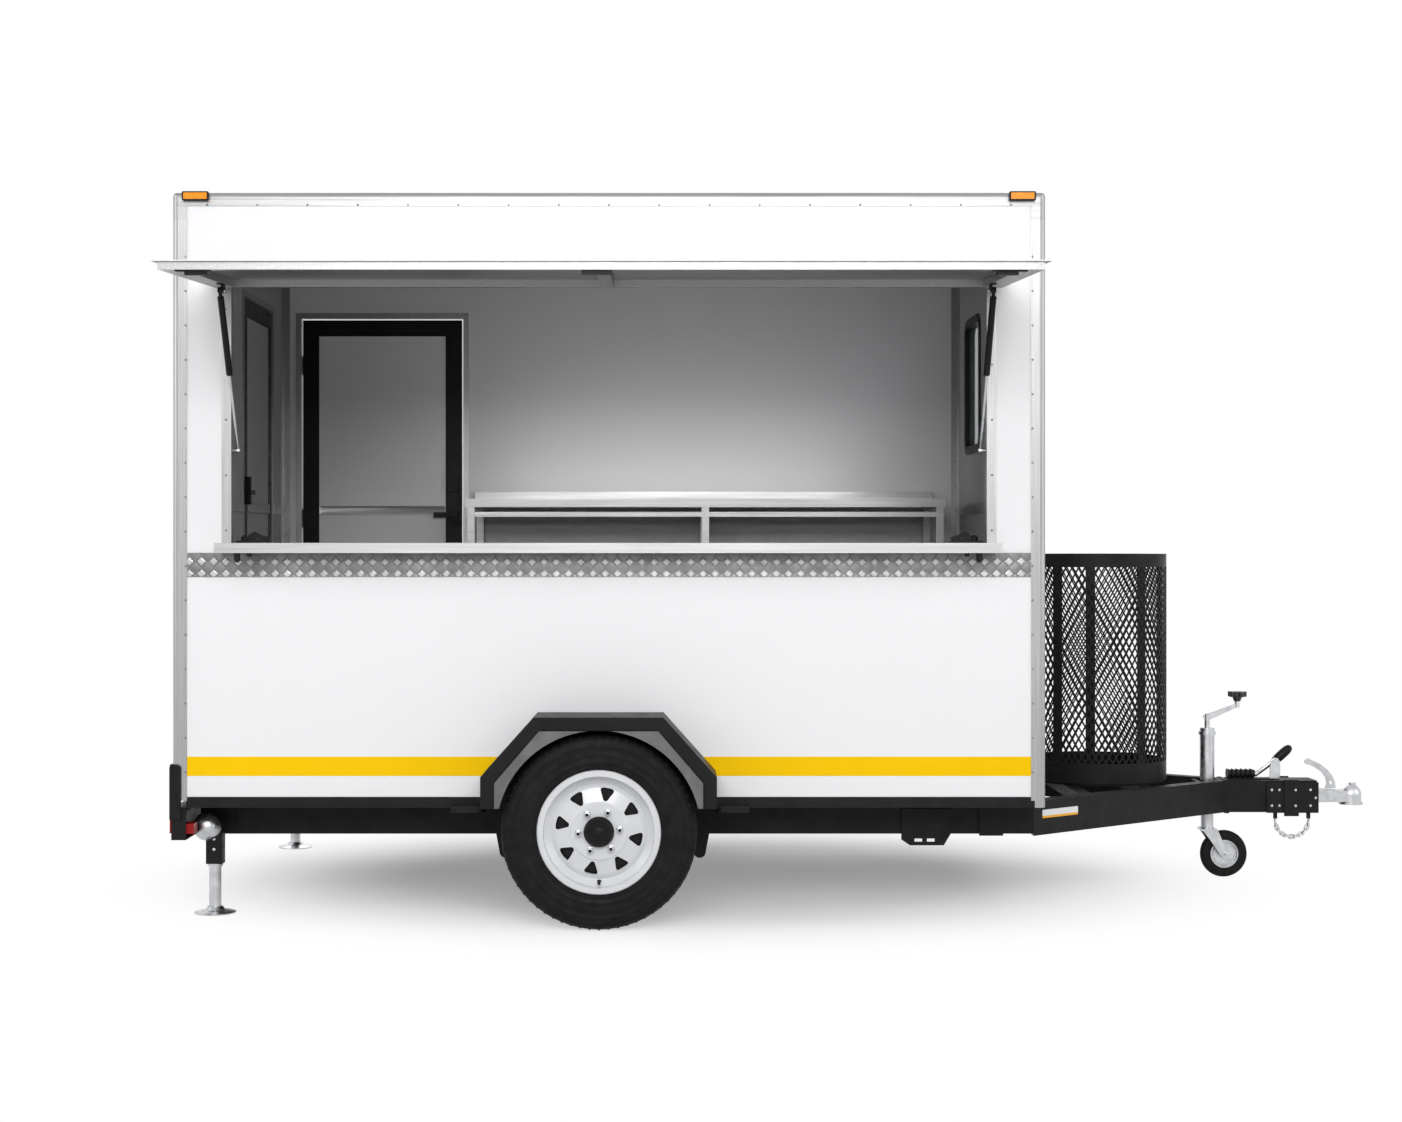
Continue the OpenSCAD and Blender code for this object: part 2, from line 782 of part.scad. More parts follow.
module tyre(side) {
    back = [for (i = [len(tyre_half) - 1:-1:0]) [tyre_half[i][0], -tyre_half[i][1]]];
    color([0.08, 0.08, 0.08]) wheel_pose(side) rotate_extrude($fn = 30) difference() {
        polygon(concat(tyre_half, back));
        // Hollow between the beads
        polygon([[seat_r - 1, 20 - rim_half_w], [tyre_r - 20, 24 - tyre_w / 2],
                 [tyre_r - 20, tyre_w / 2 - 24], [seat_r - 1, rim_half_w - 20]]);
    }
}

// Section of rim, disc and hub, as one closed outline
module rim_section() {
    e = rim_half_w;
    polygon([
        [seat_r - 4, -e - 3], [rim_r - 3, -e - 3], [rim_r, -e - 1], [rim_r - 2, -e], [seat_r, -e],
        [seat_r, -e + 24], [seat_r - 24, -e + 40], [seat_r - 24, e - 62], [seat_r, e - 30],
        [seat_r, e], [rim_r - 2, e], [rim_r, e + 1], [rim_r - 3, e + 4],
        [seat_r - 3, e + 4], [seat_r - 5, e - 28], [seat_r - 29, e - 46], [158, disc_z + 2],
        [146, disc_z + 8], [100, disc_z + 18], [94, disc_z + 22], [60, disc_z + 22], [stub_r + 14, disc_z + 22],
        [stub_r + 14, disc_z + 26], [stub_r + run_gap, disc_z + 26], [stub_r + run_gap, disc_z - 60],
        [stub_r + 22, disc_z - 60], [stub_r + 22, disc_z + 6], [92, disc_z + 12], [98, disc_z + 10],
        [144, disc_z + 2], [seat_r - 33, disc_z - 8], [seat_r - 29, disc_z - 14], [seat_r - 29, -e + 42],
        [seat_r - 4, -e + 26]
    ]);
}

// Rounded triangle, one of the eight openings in the disc
module rim_window() {
    polygon([
        [103, -3], [106, -7], [135, -22], [141, -23], [145, -19], [147, -10],
        [147, 10], [145, 19], [141, 23], [135, 22], [106, 7], [103, 3]
    ]);
}

module wheel_rim(side) {
    color([0.92, 0.93, 0.94]) wheel_pose(side) {
        difference() {
            rotate_extrude($fn = 96) rim_section();
            for (i = [0:7]) rotate(33.5 + 45 * i) linear_extrude(disc_z + 40) rim_window();
        }
        for (i = [0:stud_n - 1]) rotate(5 + 360 / stud_n * i) translate([stud_pcd / 2, 0, disc_z + 21])
            cylinder(r = 11, h = 14, $fn = 6);
    }
}

module hub_cap(side) {
    color([0.07, 0.07, 0.07]) wheel_pose(side) translate([0, 0, disc_z + 26]) {
        rotate_extrude() polygon([[0, 0], [51, 0], [51, 12], [47, 17], [34, 17], [33, 14], [20, 14],
                                  [19, 20], [16, 22], [0, 22]]);
    }
}

/* ---- Fenders ---- */

// Outline of the fender, from the body's underside round over the wheel, moved in by an amount
function fender_points(by, foot) = let(slope = [fender_half - fender_flat, fender_top - fender_knee])
    let(k = by * tan(atan2(slope[1], slope[0]) / 2), m = by * tan((90 - atan2(slope[1], slope[0])) / 2)) [
    [-fender_half + by, foot], [-fender_half + by, fender_knee - m], [-fender_flat + k, fender_top - by],
    [fender_flat - k, fender_top - by], [fender_half - by, fender_knee - m], [fender_half - by, foot]
];

module fender_band(by) {
    difference() {
        polygon(fender_points(0, body_z));
        polygon(fender_points(by, body_z - 1));
    }
}

module fenders() {
    color([0.15, 0.15, 0.15]) both_sides() {
        slab_xz(-face_y - fender_out, -face_y - 1) fender_band(fender_t);
        slab_xz(-face_y - fender_out - fender_t, -face_y - fender_out) fender_band(fender_lip);
    }
}

module arch_plates() {
    color("gray") both_sides()
        slab_xz(-face_y - fender_out + fender_t, -face_y - fender_out + 2 * fender_t) difference() {
            polygon(fender_points(fender_t, body_z));
            translate([0, tyre_r]) circle(arch_r);
        }
}

/* ---- Axle and springs ---- */

axle_drop = 96;
arm_y = rail_y + 40;
brake_r = seat_r - 54;

module axle() {
    bore_end = wheel_y + disc_z + 24;
    color([0.12, 0.12, 0.12]) {
        block([-28, -arm_y, tyre_r - axle_drop - 28], [28, arm_y, tyre_r - axle_drop + 28]);
        both_sides() {
            block([-40, -arm_y - 30, tyre_r - axle_drop - 40], [40, -arm_y, tyre_r + 40]);
            translate([0, -arm_y - 30, tyre_r]) rotate([90, 0, 0])
                cylinder(r = 32, h = wheel_y + disc_z - 66 - arm_y - 30);
            translate([0, -arm_y - 30, tyre_r]) rotate([90, 0, 0])
                cylinder(r = stub_r, h = bore_end - arm_y - 30);
            // Brake's back plate and drum
            translate([0, 45 - wheel_y, tyre_r]) rotate([90, 0, 0]) {
                cylinder(r = brake_r, h = 5);
                cylinder(r = brake_r - 20, h = 23);
            }
        }
    }
}

spring_half = 340;
spring_z = tyre_r - axle_drop - 28;

module leaf_springs() {
    color([0.12, 0.12, 0.12]) both_sides() translate([0, -rail_y + 10, 0]) {
        // Three leaves under the axle, each shorter than the one above it
        for (i = [0:2]) block([-spring_half + 90 * i, 0, spring_z - 8 * (i + 1)],
                              [spring_half - 90 * i, 45, spring_z - 8 * i]);
        for (end = [-1, 1]) {
            translate([end * (spring_half + 4), 0, spring_z - 4]) rotate([-90, 0, 0])
                cylinder(r = 14, h = 45);
            // Hanger between the rail and the spring's eye
            for (y = [-8, 45]) translate([end * (spring_half + 4), y, 0]) rotate([90, 0, 0])
                translate([0, 0, -8]) linear_extrude(8) {
                    translate([0, spring_z - 4]) circle(22);
                    polygon([[-22, spring_z - 4], [22, spring_z - 4], [34, rail_z], [-34, rail_z]]);
                }
        }
        for (x = [-34, 34]) block([x - 5, -8, spring_z - 34], [x + 5, 53, spring_z - 24]);
    }
}

/* ---- Chassis ---- */

module rail_section() {
    difference() {
        square([rail_w, rail_h]);
        translate([rail_t, rail_t]) square([rail_w, rail_h - 2 * rail_t]);
    }
}

chassis_x0 = rear_x + 48;
cross_w = 40;
cross_x = [for (i = [0:cross_n - 1])
    chassis_x0 + (front_x - 60 - chassis_x0) * i / (cross_n - 1)];
lip_up = 13;

module chassis_frame() {
    x0 = chassis_x0;
    color([0.1, 0.1, 0.1]) {
        both_sides() {
            // Side rail, open towards the middle
            translate([x0, -rail_y, rail_z]) rotate([90, 0, 90]) linear_extrude(front_x - x0)
                rail_section();
            // Edge member under the body's side, with a lip up over the wall beside the fender
            block([x0, -side_y, rail_top], [front_x - post_core, -side_y + 50, body_z]);
            for (x = [[rear_x + post_w, -fender_half], [fender_half, front_x - post_w]])
                block([x[0], -side_y, body_z - 1], [x[1], -face_y, body_z + lip_up]);
        }
        // Cross members between the rails, and outriggers to the body's edge
        for (x = cross_x) {
            block([x, -rail_y + rail_t, rail_top - 60], [x + cross_w, rail_y - rail_t, rail_top - 6]);
            both_sides() block([x, -side_y + 50, rail_top + 4], [x + cross_w, -rail_y + 30, body_z]);
        }
        both_sides() block([x0, -rail_y + 2, rail_top - 2], [front_x, -rail_y + 42, body_z]);
        both_sides() leg_mount();
        both_sides() fender_lugs();
        both_sides() rail_brackets();
    }
}

// Plate and pin that a rear leg swings on
module leg_mount() {
    translate([jack_x, -rail_y, jack_z]) rotate([90, 0, 0]) {
        cylinder(r = 44, h = 8);
        cylinder(r = 22, h = jack_y - rail_y - 23);
        cylinder(r = 15, h = jack_y - rail_y + 20);
    }
    translate([jack_x - 44, -rail_y - 8, jack_z]) cube([120, 8, rail_top - jack_z - 2]);
}

// Lugs beside the fender's feet
module fender_lugs() {
    for (rear = [0, 1]) mirror([rear, 0, 0])
        translate([fender_half, -side_y - 60, rail_top - 10]) linear_extrude(20) difference() {
            rounded_rect(118, 110, 24);
            translate([40, 28]) rounded_rect(60, 40, 12);
        }
}

// Slotted bracket and plain bracket under the right and left rails
module rail_brackets() {
    translate([front_x - 470, -rail_y, rail_z - 40]) rotate([90, 0, 0]) linear_extrude(10) difference() {
        polygon([[0, 20], [30, 0], [150, 0], [174, 40], [174, 130], [0, 130]]);
        translate([46, 12]) square([28, 12]);
        translate([90, 12]) square([28, 12]);
    }
    translate([front_x - 194, -rail_y, rail_z - 6]) rotate([90, 0, 0]) linear_extrude(10)
        square([84, 100]);
}

bar_h = rail_h - 10;
bar_d = 50;
guard_up = 148;

module rear_bar() {
    x0 = rear_x - 4;
    color([0.1, 0.1, 0.1]) {
        // Lamp bar: a channel open towards the front, closed at its ends
        difference() {
            block([x0, -side_y + 4, rail_top - bar_h], [x0 + bar_d, side_y - 4, rail_top]);
            block([rear_x, -side_y + 8, rail_top - bar_h + 4], [x0 + bar_d + 1, side_y - 8, rail_top - 4]);
        }
        both_sides() {
            // Corner guard with a rounded top, run up round the post
            slab_xz(-side_y - 8, -side_y - 0.5) translate([rear_x - 8, rail_top - 14])
                rounded_rect(39, guard_up + 14, 12);
            block([rear_x - 8, -side_y - 0.5, rail_top - 14], [rear_x - 0.5, -side_y + 60, rail_top + guard_up]);
            block([rear_x - 8, -side_y - 8, rail_top - 40], [rear_x + 31, -side_y + 4, rail_top - 2]);
            translate([rear_x + 8, -side_y - 8, rail_top + 41]) rotate([90, 0, 0]) cylinder(r = 9, h = 5);
        }
    }
}

module tail_lamps() {
    color("darkred") both_sides() {
        block([rear_x - 22, -side_y + 60, rail_top - 96], [rear_x - 4, -side_y + 320, rail_top - 16]);
        block([rear_x, -side_y + 20, rail_top - 92], [rear_x + bar_d + 20, -side_y + 80, rail_top - 58]);
    }
}

module marker_lamp() {
    // Amber lens on its base
    cube([90, 12, 30]);
    translate([5, -10, 4]) cube([80, 10, 22]);
}

module marker_lamps() {
    color("orange") both_sides() {
        for (x = [rear_x + post_core, front_x - post_core - 90])
            translate([x, -side_y - 12, roof_z - 31]) marker_lamp();
    }
}

/* ---- Drawbar and what it carries ---- */

module drawbar() {
    half = tongue_w / 2;
    color([0.1, 0.1, 0.1]) {
        translate([0, 0, beam_z]) linear_extrude(rail_h) {
            for (side = [-1, 1]) polygon([
                [front_x, side * rail_y], [apex_x, side * half], [apex_x, side * (half - beam_w)],
                [front_x, side * (rail_y - beam_w - 20)]]);
            translate([jockey_x + jockey_tube_r + 10, -half])
                square([tongue_x1 - jockey_x - jockey_tube_r - 10, tongue_w]);
        }
        // Sleeve at the beams' meeting, and plates that hold the coupling
        block([apex_x - 6, -half - 4, beam_z - 4], [apex_x + 10, half + 4, beam_top + 3]);
        both_sides() block([tongue_x1 - 196, -half - 8, beam_z - 2], [tongue_x1 + 4, -half, beam_top - 6]);
        both_sides() block([tongue_x1 - 130, -half - 14, beam_z - 14], [tongue_x1 - 74, -half - 8, beam_top + 4]);
        // Lugs that the chain hangs from
        for (x = [-1, 1]) translate([chain_x + x * chain_r - 7, -tongue_w / 2 + 6, beam_z - 26])
            cube([14, 8, 30]);
        // Ties between the beams carry the cage and the jockey stand
        for (x = [cage_x - cage_d / 4, cage_x + cage_d / 4])
            translate([x - 25, 0, beam_top - 40]) linear_extrude(40)
                translate([0, -beam_half(x) + 20]) square([50, 2 * beam_half(x) - 40]);
        translate([cage_x, 0, beam_top]) cylinder(d = cage_d - 20, h = 8);
        translate([jockey_x - jockey_tube_r - 20, -beam_half(jockey_x) + 20, beam_top - 70])
            cube([14, 2 * beam_half(jockey_x) - 40, 64]);
    }
}

// Half the drawbar's outer width at a place along it
function beam_half(x) = rail_y + (tongue_w / 2 - rail_y) * (x - front_x) / (apex_x - front_x);

module gas_cage() {
    r = cage_d / 2;
    color([0.07, 0.07, 0.07]) translate([cage_x, 0, cage_z]) {
        cylinder(r = r, h = 4);
        cage_band(0, cage_band_low);
        cage_band(cage_h - cage_band_top, cage_h);
        for (i = [0:cage_bars - 1]) rotate(-61 + 360 / cage_bars * i)
            translate([r - cage_t - 3.5, -19, 2]) cube([3.9, 38, cage_h - 4]);
    }
}

mesh_t = 1.8;
mesh_w = 6;
mesh_turn = 88;

// Strands that climb between the bands both ways round, crossing in diamonds
module gas_cage_mesh() {
    h = cage_h - cage_band_top - cage_band_low;
    color([0.07, 0.07, 0.07]) translate([cage_x, 0, cage_z + cage_band_low])
        for (turn = [-mesh_turn, mesh_turn]) for (i = [0:mesh_n - 1])
            rotate(360 / mesh_n * i) linear_extrude(h, twist = turn, slices = 12, $fn = 4)
                translate([cage_d / 2 + 0.6 - mesh_t, -mesh_w / 2]) square([mesh_t, mesh_w]);
}

module cage_band(z0, z1) {
    translate([0, 0, z0]) difference() {
        cylinder(d = cage_d, h = z1 - z0, $fn = 96);
        translate([0, 0, -1]) cylinder(r = cage_d / 2 - cage_t, h = z1 - z0 + 2, $fn = 96);
    }
}

crank_rise = 47;
crank_l = 126;

module jockey_stand() {
    tilt = asin(crank_rise / crank_l);
    knob = [jockey_x + crank_l * cos(tilt), 0, jockey_top + 42 + crank_rise];
    color("silver") {
        difference() {
            translate([jockey_x, 0, beam_z + 4]) cylinder(r = jockey_tube_r, h = jockey_top - beam_z - 4);
            translate([jockey_x, 0, beam_z]) cylinder(r = jockey_inner_r + run_gap, h = jockey_top - beam_z - 20);
        }
        // Collars: one sits on the drawbar's cross plate, one stiffens the tube's top
        for (z = [[beam_top - 60, 44], [jockey_top - 26, 12]]) difference() {
            translate([jockey_x, 0, z[0]]) cylinder(r = jockey_tube_r + 5, h = z[1]);
            translate([jockey_x, 0, z[0] - 1]) cylinder(r = jockey_tube_r - 1, h = z[1] + 2);
        }
        // Crank: screw end, tapered arm and a five-lobed knob on its stepped neck
        translate([jockey_x, 0, jockey_top]) cylinder(r = 10, h = 54);
        translate([jockey_x, 0, jockey_top + 42]) rotate([0, -tilt, 0]) slab_xz(-5, 5)
            polygon([[-14, -9], [-8, -13], [6, -13], [crank_l, -8], [crank_l + 8, 0], [crank_l, 8], [6, 13],
                     [-8, 13], [-14, 9]]);
        translate(knob) {
            translate([0, 0, -10]) cylinder(r = 9, h = 28);
            translate([0, 0, 14]) cylinder(r1 = 12, r2 = 19, h = 18);
            translate([0, 0, 32]) linear_extrude(20) {
                circle(28);
                for (i = [0:4]) rotate(72 * i) translate([27, 0]) circle(10);
            }
        }
    }
}

module jockey_leg() {
    color("silver") translate([jockey_x, 0, 2 * jockey_wheel_r + 12])
        cylinder(r = jockey_inner_r, h = jockey_top - 2 * jockey_wheel_r - 12 - 90);
}

module jockey_fork() {
    color("silver") {
        translate([jockey_x, 0, 2 * jockey_wheel_r + 4]) cylinder(r = 26, h = 7.9);
        both_sides() translate([0, -36, 0]) rotate([90, 0, 0]) linear_extrude(4) polygon([
            [jockey_x - 28, 2 * jockey_wheel_r + 8], [jockey_x + 30, 2 * jockey_wheel_r + 8],
            [jockey_x + jockey_trail + 14, jockey_wheel_r - 8],
            [jockey_x + jockey_trail - 14, jockey_wheel_r - 10]]);
        block([jockey_x - 28, -40, 2 * jockey_wheel_r], [jockey_x + 30, 40, 2 * jockey_wheel_r + 8]);
        translate([jockey_x + jockey_trail, 44, jockey_wheel_r]) rotate([90, 0, 0])
            cylinder(r = 8, h = 88);
    }
}

module jockey_wheel_pose() {
    translate([jockey_x + jockey_trail, 0, jockey_wheel_r]) rotate([90, 0, 0]) children();
}

module jockey_tyre() {
    seat = 54;
    crown = jockey_wheel_r - seat;
    color([0.08, 0.08, 0.08]) jockey_wheel_pose() rotate_extrude($fn = 32)
        polygon(concat([[seat, -20]], arc([seat + crown - 18, 0], [18, 20], -90, 90, 6), [[seat, 20]]));
}

module jockey_hub() {
    color("gainsboro") jockey_wheel_pose() rotate_extrude() polygon([
        [8 + run_gap, -26], [16, -26], [18, -8], [48, -8], [50, -18], [54, -18],
        [54, 18], [50, 18], [48, 8], [18, 8], [16, 26], [8 + run_gap, 26]]);
}

// Cast head: a neck that widens to the cup over the ball, with a lip round its mouth
module coupling_head() {
    r = ball_d / 2 + 0.4;
    color("silver") difference() {
        union() {
            hull() {
                block([tongue_x1 + 4, -36, coupling_z - 26], [tongue_x1 + 16, 36, coupling_z + 24]);
                translate([ball_x - 20, 0, coupling_z - 24]) cylinder(r = 34, h = 40, $fn = 32);
            }
            translate([ball_x, 0, coupling_z - 36]) cylinder(r = 40, h = 38);
            translate([ball_x, 0, coupling_z + 2]) sphere(40);
            translate([ball_x, 0, coupling_z - 36]) cylinder(r = 46, h = 8);
            translate([ball_x + 6, 0, coupling_z + 30]) cylinder(r = 14, h = 16);
        }
        translate([ball_x, 0, coupling_z - 40]) cylinder(r = r, h = 36);
        translate([ball_x, 0, coupling_z - 4]) sphere(r);
    }
}

module coupling_handle() {
    color("silver") translate([tongue_x1 + 50, 8, coupling_z + 26]) rotate([90, 0, 0]) linear_extrude(16) {
        difference() {
            polygon([[0, 0], [38, 0], [36, 22], [26, 46], [8, 70], [-22, 94], [-62, 112], [-72, 94],
                     [-40, 80], [-14, 62], [2, 38], [6, 18]]);
            translate([20, 22]) circle(7);
        }
        translate([-68, 103]) circle(12);
    }
}

// Ribbed gaiter over the rod, the lever with its grip, and the plate that guards it
module handbrake() {
    color([0.1, 0.1, 0.1]) {
        block([apex_x + 12, -26, beam_top], [apex_x + 196, 26, beam_top + 5]);
        for (i = [0:5]) translate([apex_x + 16 + 18 * i, 0, beam_top + 21]) rotate([0, 90, 0])
            cylinder(r1 = 20, r2 = 14, h = 18);
        translate([apex_x + 126, 0, beam_top + 14]) rotate([0, 54, 0]) cylinder(r = 7, h = 104);
        translate([apex_x + 200, 0, beam_top + 68]) rotate([0, 48, 0]) {
            cylinder(r1 = 12, r2 = 15, h = 16);
            translate([0, 0, 16]) cylinder(r = 15, h = 52);
            translate([0, 0, 68]) cylinder(r1 = 15, r2 = 9, h = 10);
            translate([0, 0, 78]) cylinder(r = 5, h = 9);
        }
        slab_xz(-24, -18) polygon([[apex_x + 176, beam_top], [apex_x + 214, beam_top],
            [apex_x + 216, beam_top + 66], [apex_x + 196, beam_top + 80], [apex_x + 180, beam_top + 60]]);
    }
}

chain_n = 11;
chain_r = 64;
chain_x = tongue_x1 - 95;
link_l = 28;
link_w = 12.5;
link_r = 2.6;

// A ring of six straight rods, drawn in its own plane
module chain_link() {
    w = link_w / 2;
    half = link_l / 2 - w;
    pts = [[half, w], [half + w, 0], [half, -w], [-half, -w], [-half - w, 0], [-half, w]];
    for (i = [0:5]) {
        step = pts[(i + 1) % 6] - pts[i];
        translate(pts[i]) rotate([0, 90, atan2(step[1], step[0])]) translate([0, 0, -1])
            cylinder(r = link_r, h = norm(step) + 2, $fn = 6);
    }
}

// A hanging loop of links on an arc under the drawbar
module safety_chain() {
    color("silver") for (i = [0:chain_n - 1]) {
        a = 190 + 160 / (chain_n - 1) * i;
        translate([chain_x + chain_r * cos(a), -tongue_w / 2 + 10, beam_z - 32 + chain_r * sin(a)])
            rotate([0, 90 - a, 0]) rotate([i % 2 * 90, 0, 0]) chain_link();
    }
}

/* ---- Rear legs ---- */

module jack_pose(side) {
    translate([jack_x, side * jack_y, jack_z]) mirror([0, side > 0 ? 1 : 0, 0]) children();
}

module jack_hub(side) {
    color([0.1, 0.1, 0.1]) jack_pose(side) difference() {
        union() {
            block([jack_off - 28, -25, -132], [jack_off + 30, 22, -20]);
            rotate([90, 0, 0]) cylinder(r = 34, h = 44, center = true);
        }
        rotate([90, 0, 0]) cylinder(r = 15 + run_gap, h = 60, center = true);
        translate([jack_off, 0, -140]) cylinder(r = jack_tube_r, h = 60);
    }
}

module jack_leg(side) {
    color("silver") jack_pose(side) {
        // Half ball over the pivot
        intersection() {
            translate([0, -25, 0]) rotate([90, 0, 0]) cylinder(r = jack_cap_r + 5, h = jack_cap_r + 5);
            translate([0, -25, 0]) sphere(jack_cap_r);
        }
        translate([jack_off, 0, -jack_z + 6]) cylinder(r = jack_tube_r, h = jack_z - 86);
        translate([jack_off, 0, -142]) cylinder(r = jack_tube_r + 5, h = 10);
        translate([jack_off, 0, -jack_z]) rotate_extrude()
            polygon([[0, 0], [jack_foot_r, 0], [jack_foot_r, 4], [jack_foot_r - 12, 7],
                     [jack_tube_r + 14, 12], [jack_tube_r + 5, 24], [0, 24]]);
    }
}

/* ---- Cabin fittings ---- */

table_z = floor_z + table_h;

module work_table() {
    x1 = in_x1 - 120;
    x0 = x1 - table_l;
    y0 = in_y - table_d;
    color("silver") {
        block([x0, y0, table_z - 34], [x1, in_y, table_z]);
        block([x0, in_y - 30, table_z], [x1, in_y, table_z + 40]);
        for (x = [x0 + 10, (x0 + x1) / 2 - 15, x1 - 40]) for (y = [y0 + 10, in_y - 50])
            block([x, y, floor_z], [x + 30, y + 30, table_z - 34]);
        block([x0 + 10, y0 + 15, table_z - 74], [x1 - 10, y0 + 35, table_z - 54]);
    }
}

rub_h = 40;
rub_z = table_z - 60;

module rub_rails() {
    end = side_y - post_core - inner_flange;
    color("silver") {
        block([in_x0, -end, rub_z], [in_x0 + 8, rear_door_y0 - surround_w, rub_z + rub_h]);
        block([in_x0, rear_door_y0 + rear_door_w + surround_w, rub_z], [in_x0 + 8, end, rub_z + rub_h]);
        block([in_x1 - 8, -end, rub_z], [in_x1, end, rub_z + rub_h]);
    }
}

chassis_frame();
drawbar();
floor_panel();  // floor
serving_wall();
far_wall();
rear_wall();
front_wall();
roof();
corner_posts();
top_rails();
tread_strip();
stripes();
counter();
counter_latches();
hatch_trim();
door_surrounds();
fenders();
arch_plates();
axle();
leaf_springs();
rear_bar();
tail_lamps();
marker_lamps();
gas_cage();
gas_cage_mesh();
jockey_stand();
coupling_head();
coupling_handle();
handbrake();
safety_chain();
work_table();
rub_rails();
window_frame();
window_glass();
hatch_skin();
hatch_frame();
hatch_hardware();
strut_cylinder(-1);  // strut_cylinder_rear
strut_rod(-1);  // strut_rod_rear
strut_cylinder(1);  // strut_cylinder_front
strut_rod(1);  // strut_rod_front
rear_door_panel();
rear_door_frame();
side_door_panel();
side_door_frame();
wheel_rim(-1);  // wheel_rim_right
tyre(-1);  // tyre_right
hub_cap(-1);  // hub_cap_right
wheel_rim(1);  // wheel_rim_left
tyre(1);  // tyre_left
hub_cap(1);  // hub_cap_left
jack_hub(-1);  // jack_hub_right
jack_leg(-1);  // jack_leg_right
jack_hub(1);  // jack_hub_left
jack_leg(1);  // jack_leg_left
jockey_leg();
jockey_fork();
jockey_tyre();
jockey_hub();
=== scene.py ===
# %% [markdown]
# # A food trailer, dressed for the camera
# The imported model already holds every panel, rail and wheel at its real size. This lesson gives each one
# its finish and adds the small fittings that a maker fixes on last: rivets, bolts, the raised pattern of
# the tread plate, the fine mesh of the gas cage and the tread of the tyres. Each step says what the thing
# is, then makes it.

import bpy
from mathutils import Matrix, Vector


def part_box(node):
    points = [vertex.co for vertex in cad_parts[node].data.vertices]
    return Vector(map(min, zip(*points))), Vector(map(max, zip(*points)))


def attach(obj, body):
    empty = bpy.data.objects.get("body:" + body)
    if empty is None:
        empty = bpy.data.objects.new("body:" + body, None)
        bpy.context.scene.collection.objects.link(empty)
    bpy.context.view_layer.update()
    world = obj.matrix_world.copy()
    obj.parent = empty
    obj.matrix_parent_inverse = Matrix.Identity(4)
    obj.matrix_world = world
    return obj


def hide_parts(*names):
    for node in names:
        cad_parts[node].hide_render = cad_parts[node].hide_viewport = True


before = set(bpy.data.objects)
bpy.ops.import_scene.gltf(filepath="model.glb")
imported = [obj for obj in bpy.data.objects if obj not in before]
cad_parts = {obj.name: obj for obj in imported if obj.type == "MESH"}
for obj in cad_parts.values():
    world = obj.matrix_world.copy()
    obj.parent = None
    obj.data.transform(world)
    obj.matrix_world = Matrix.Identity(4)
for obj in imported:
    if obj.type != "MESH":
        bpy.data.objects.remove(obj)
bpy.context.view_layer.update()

# %% [markdown]
# The rest of the lesson needs Blender's own modules and a little of Python's maths.

# %% Blender's own modules
from math import atan2, cos, degrees, pi, radians, sin

import bmesh
import bpy
from mathutils import Vector

print("Blender", bpy.app.version_string)

# %% [markdown]
# ## Camera
# A trailer's side is best shown from far off with a long lens, so that its body stays a true rectangle.
# The camera stands level at counter height and its sensor is shifted a little, as on a view camera,
# instead of being tilted.

# %% Camera
def add_camera(spot, lens, shift_x, shift_y):
    bpy.ops.object.select_all(action="DESELECT")
    bpy.ops.object.camera_add(location=spot, rotation=(radians(90), 0, 0))
    camera = bpy.context.object
    camera.data.sensor_width = 36
    camera.data.lens = lens
    camera.data.shift_x = shift_x
    camera.data.shift_y = shift_y
    camera.data.dof.use_dof = False
    bpy.context.scene.camera = camera
    return camera


camera = add_camera((0.221, -8.5, 1.29), lens=56.1, shift_x=0.0257, shift_y=-0.0114)
print("camera stands at", tuple(round(c, 3) for c in camera.location))

# %% [markdown]
# ## Building materials
# Every finish starts from the same few moves: a shader, a pattern that sits in the object's own space, a
# ramp that turns the pattern into colour or roughness, and a bump. These helpers keep each recipe short.

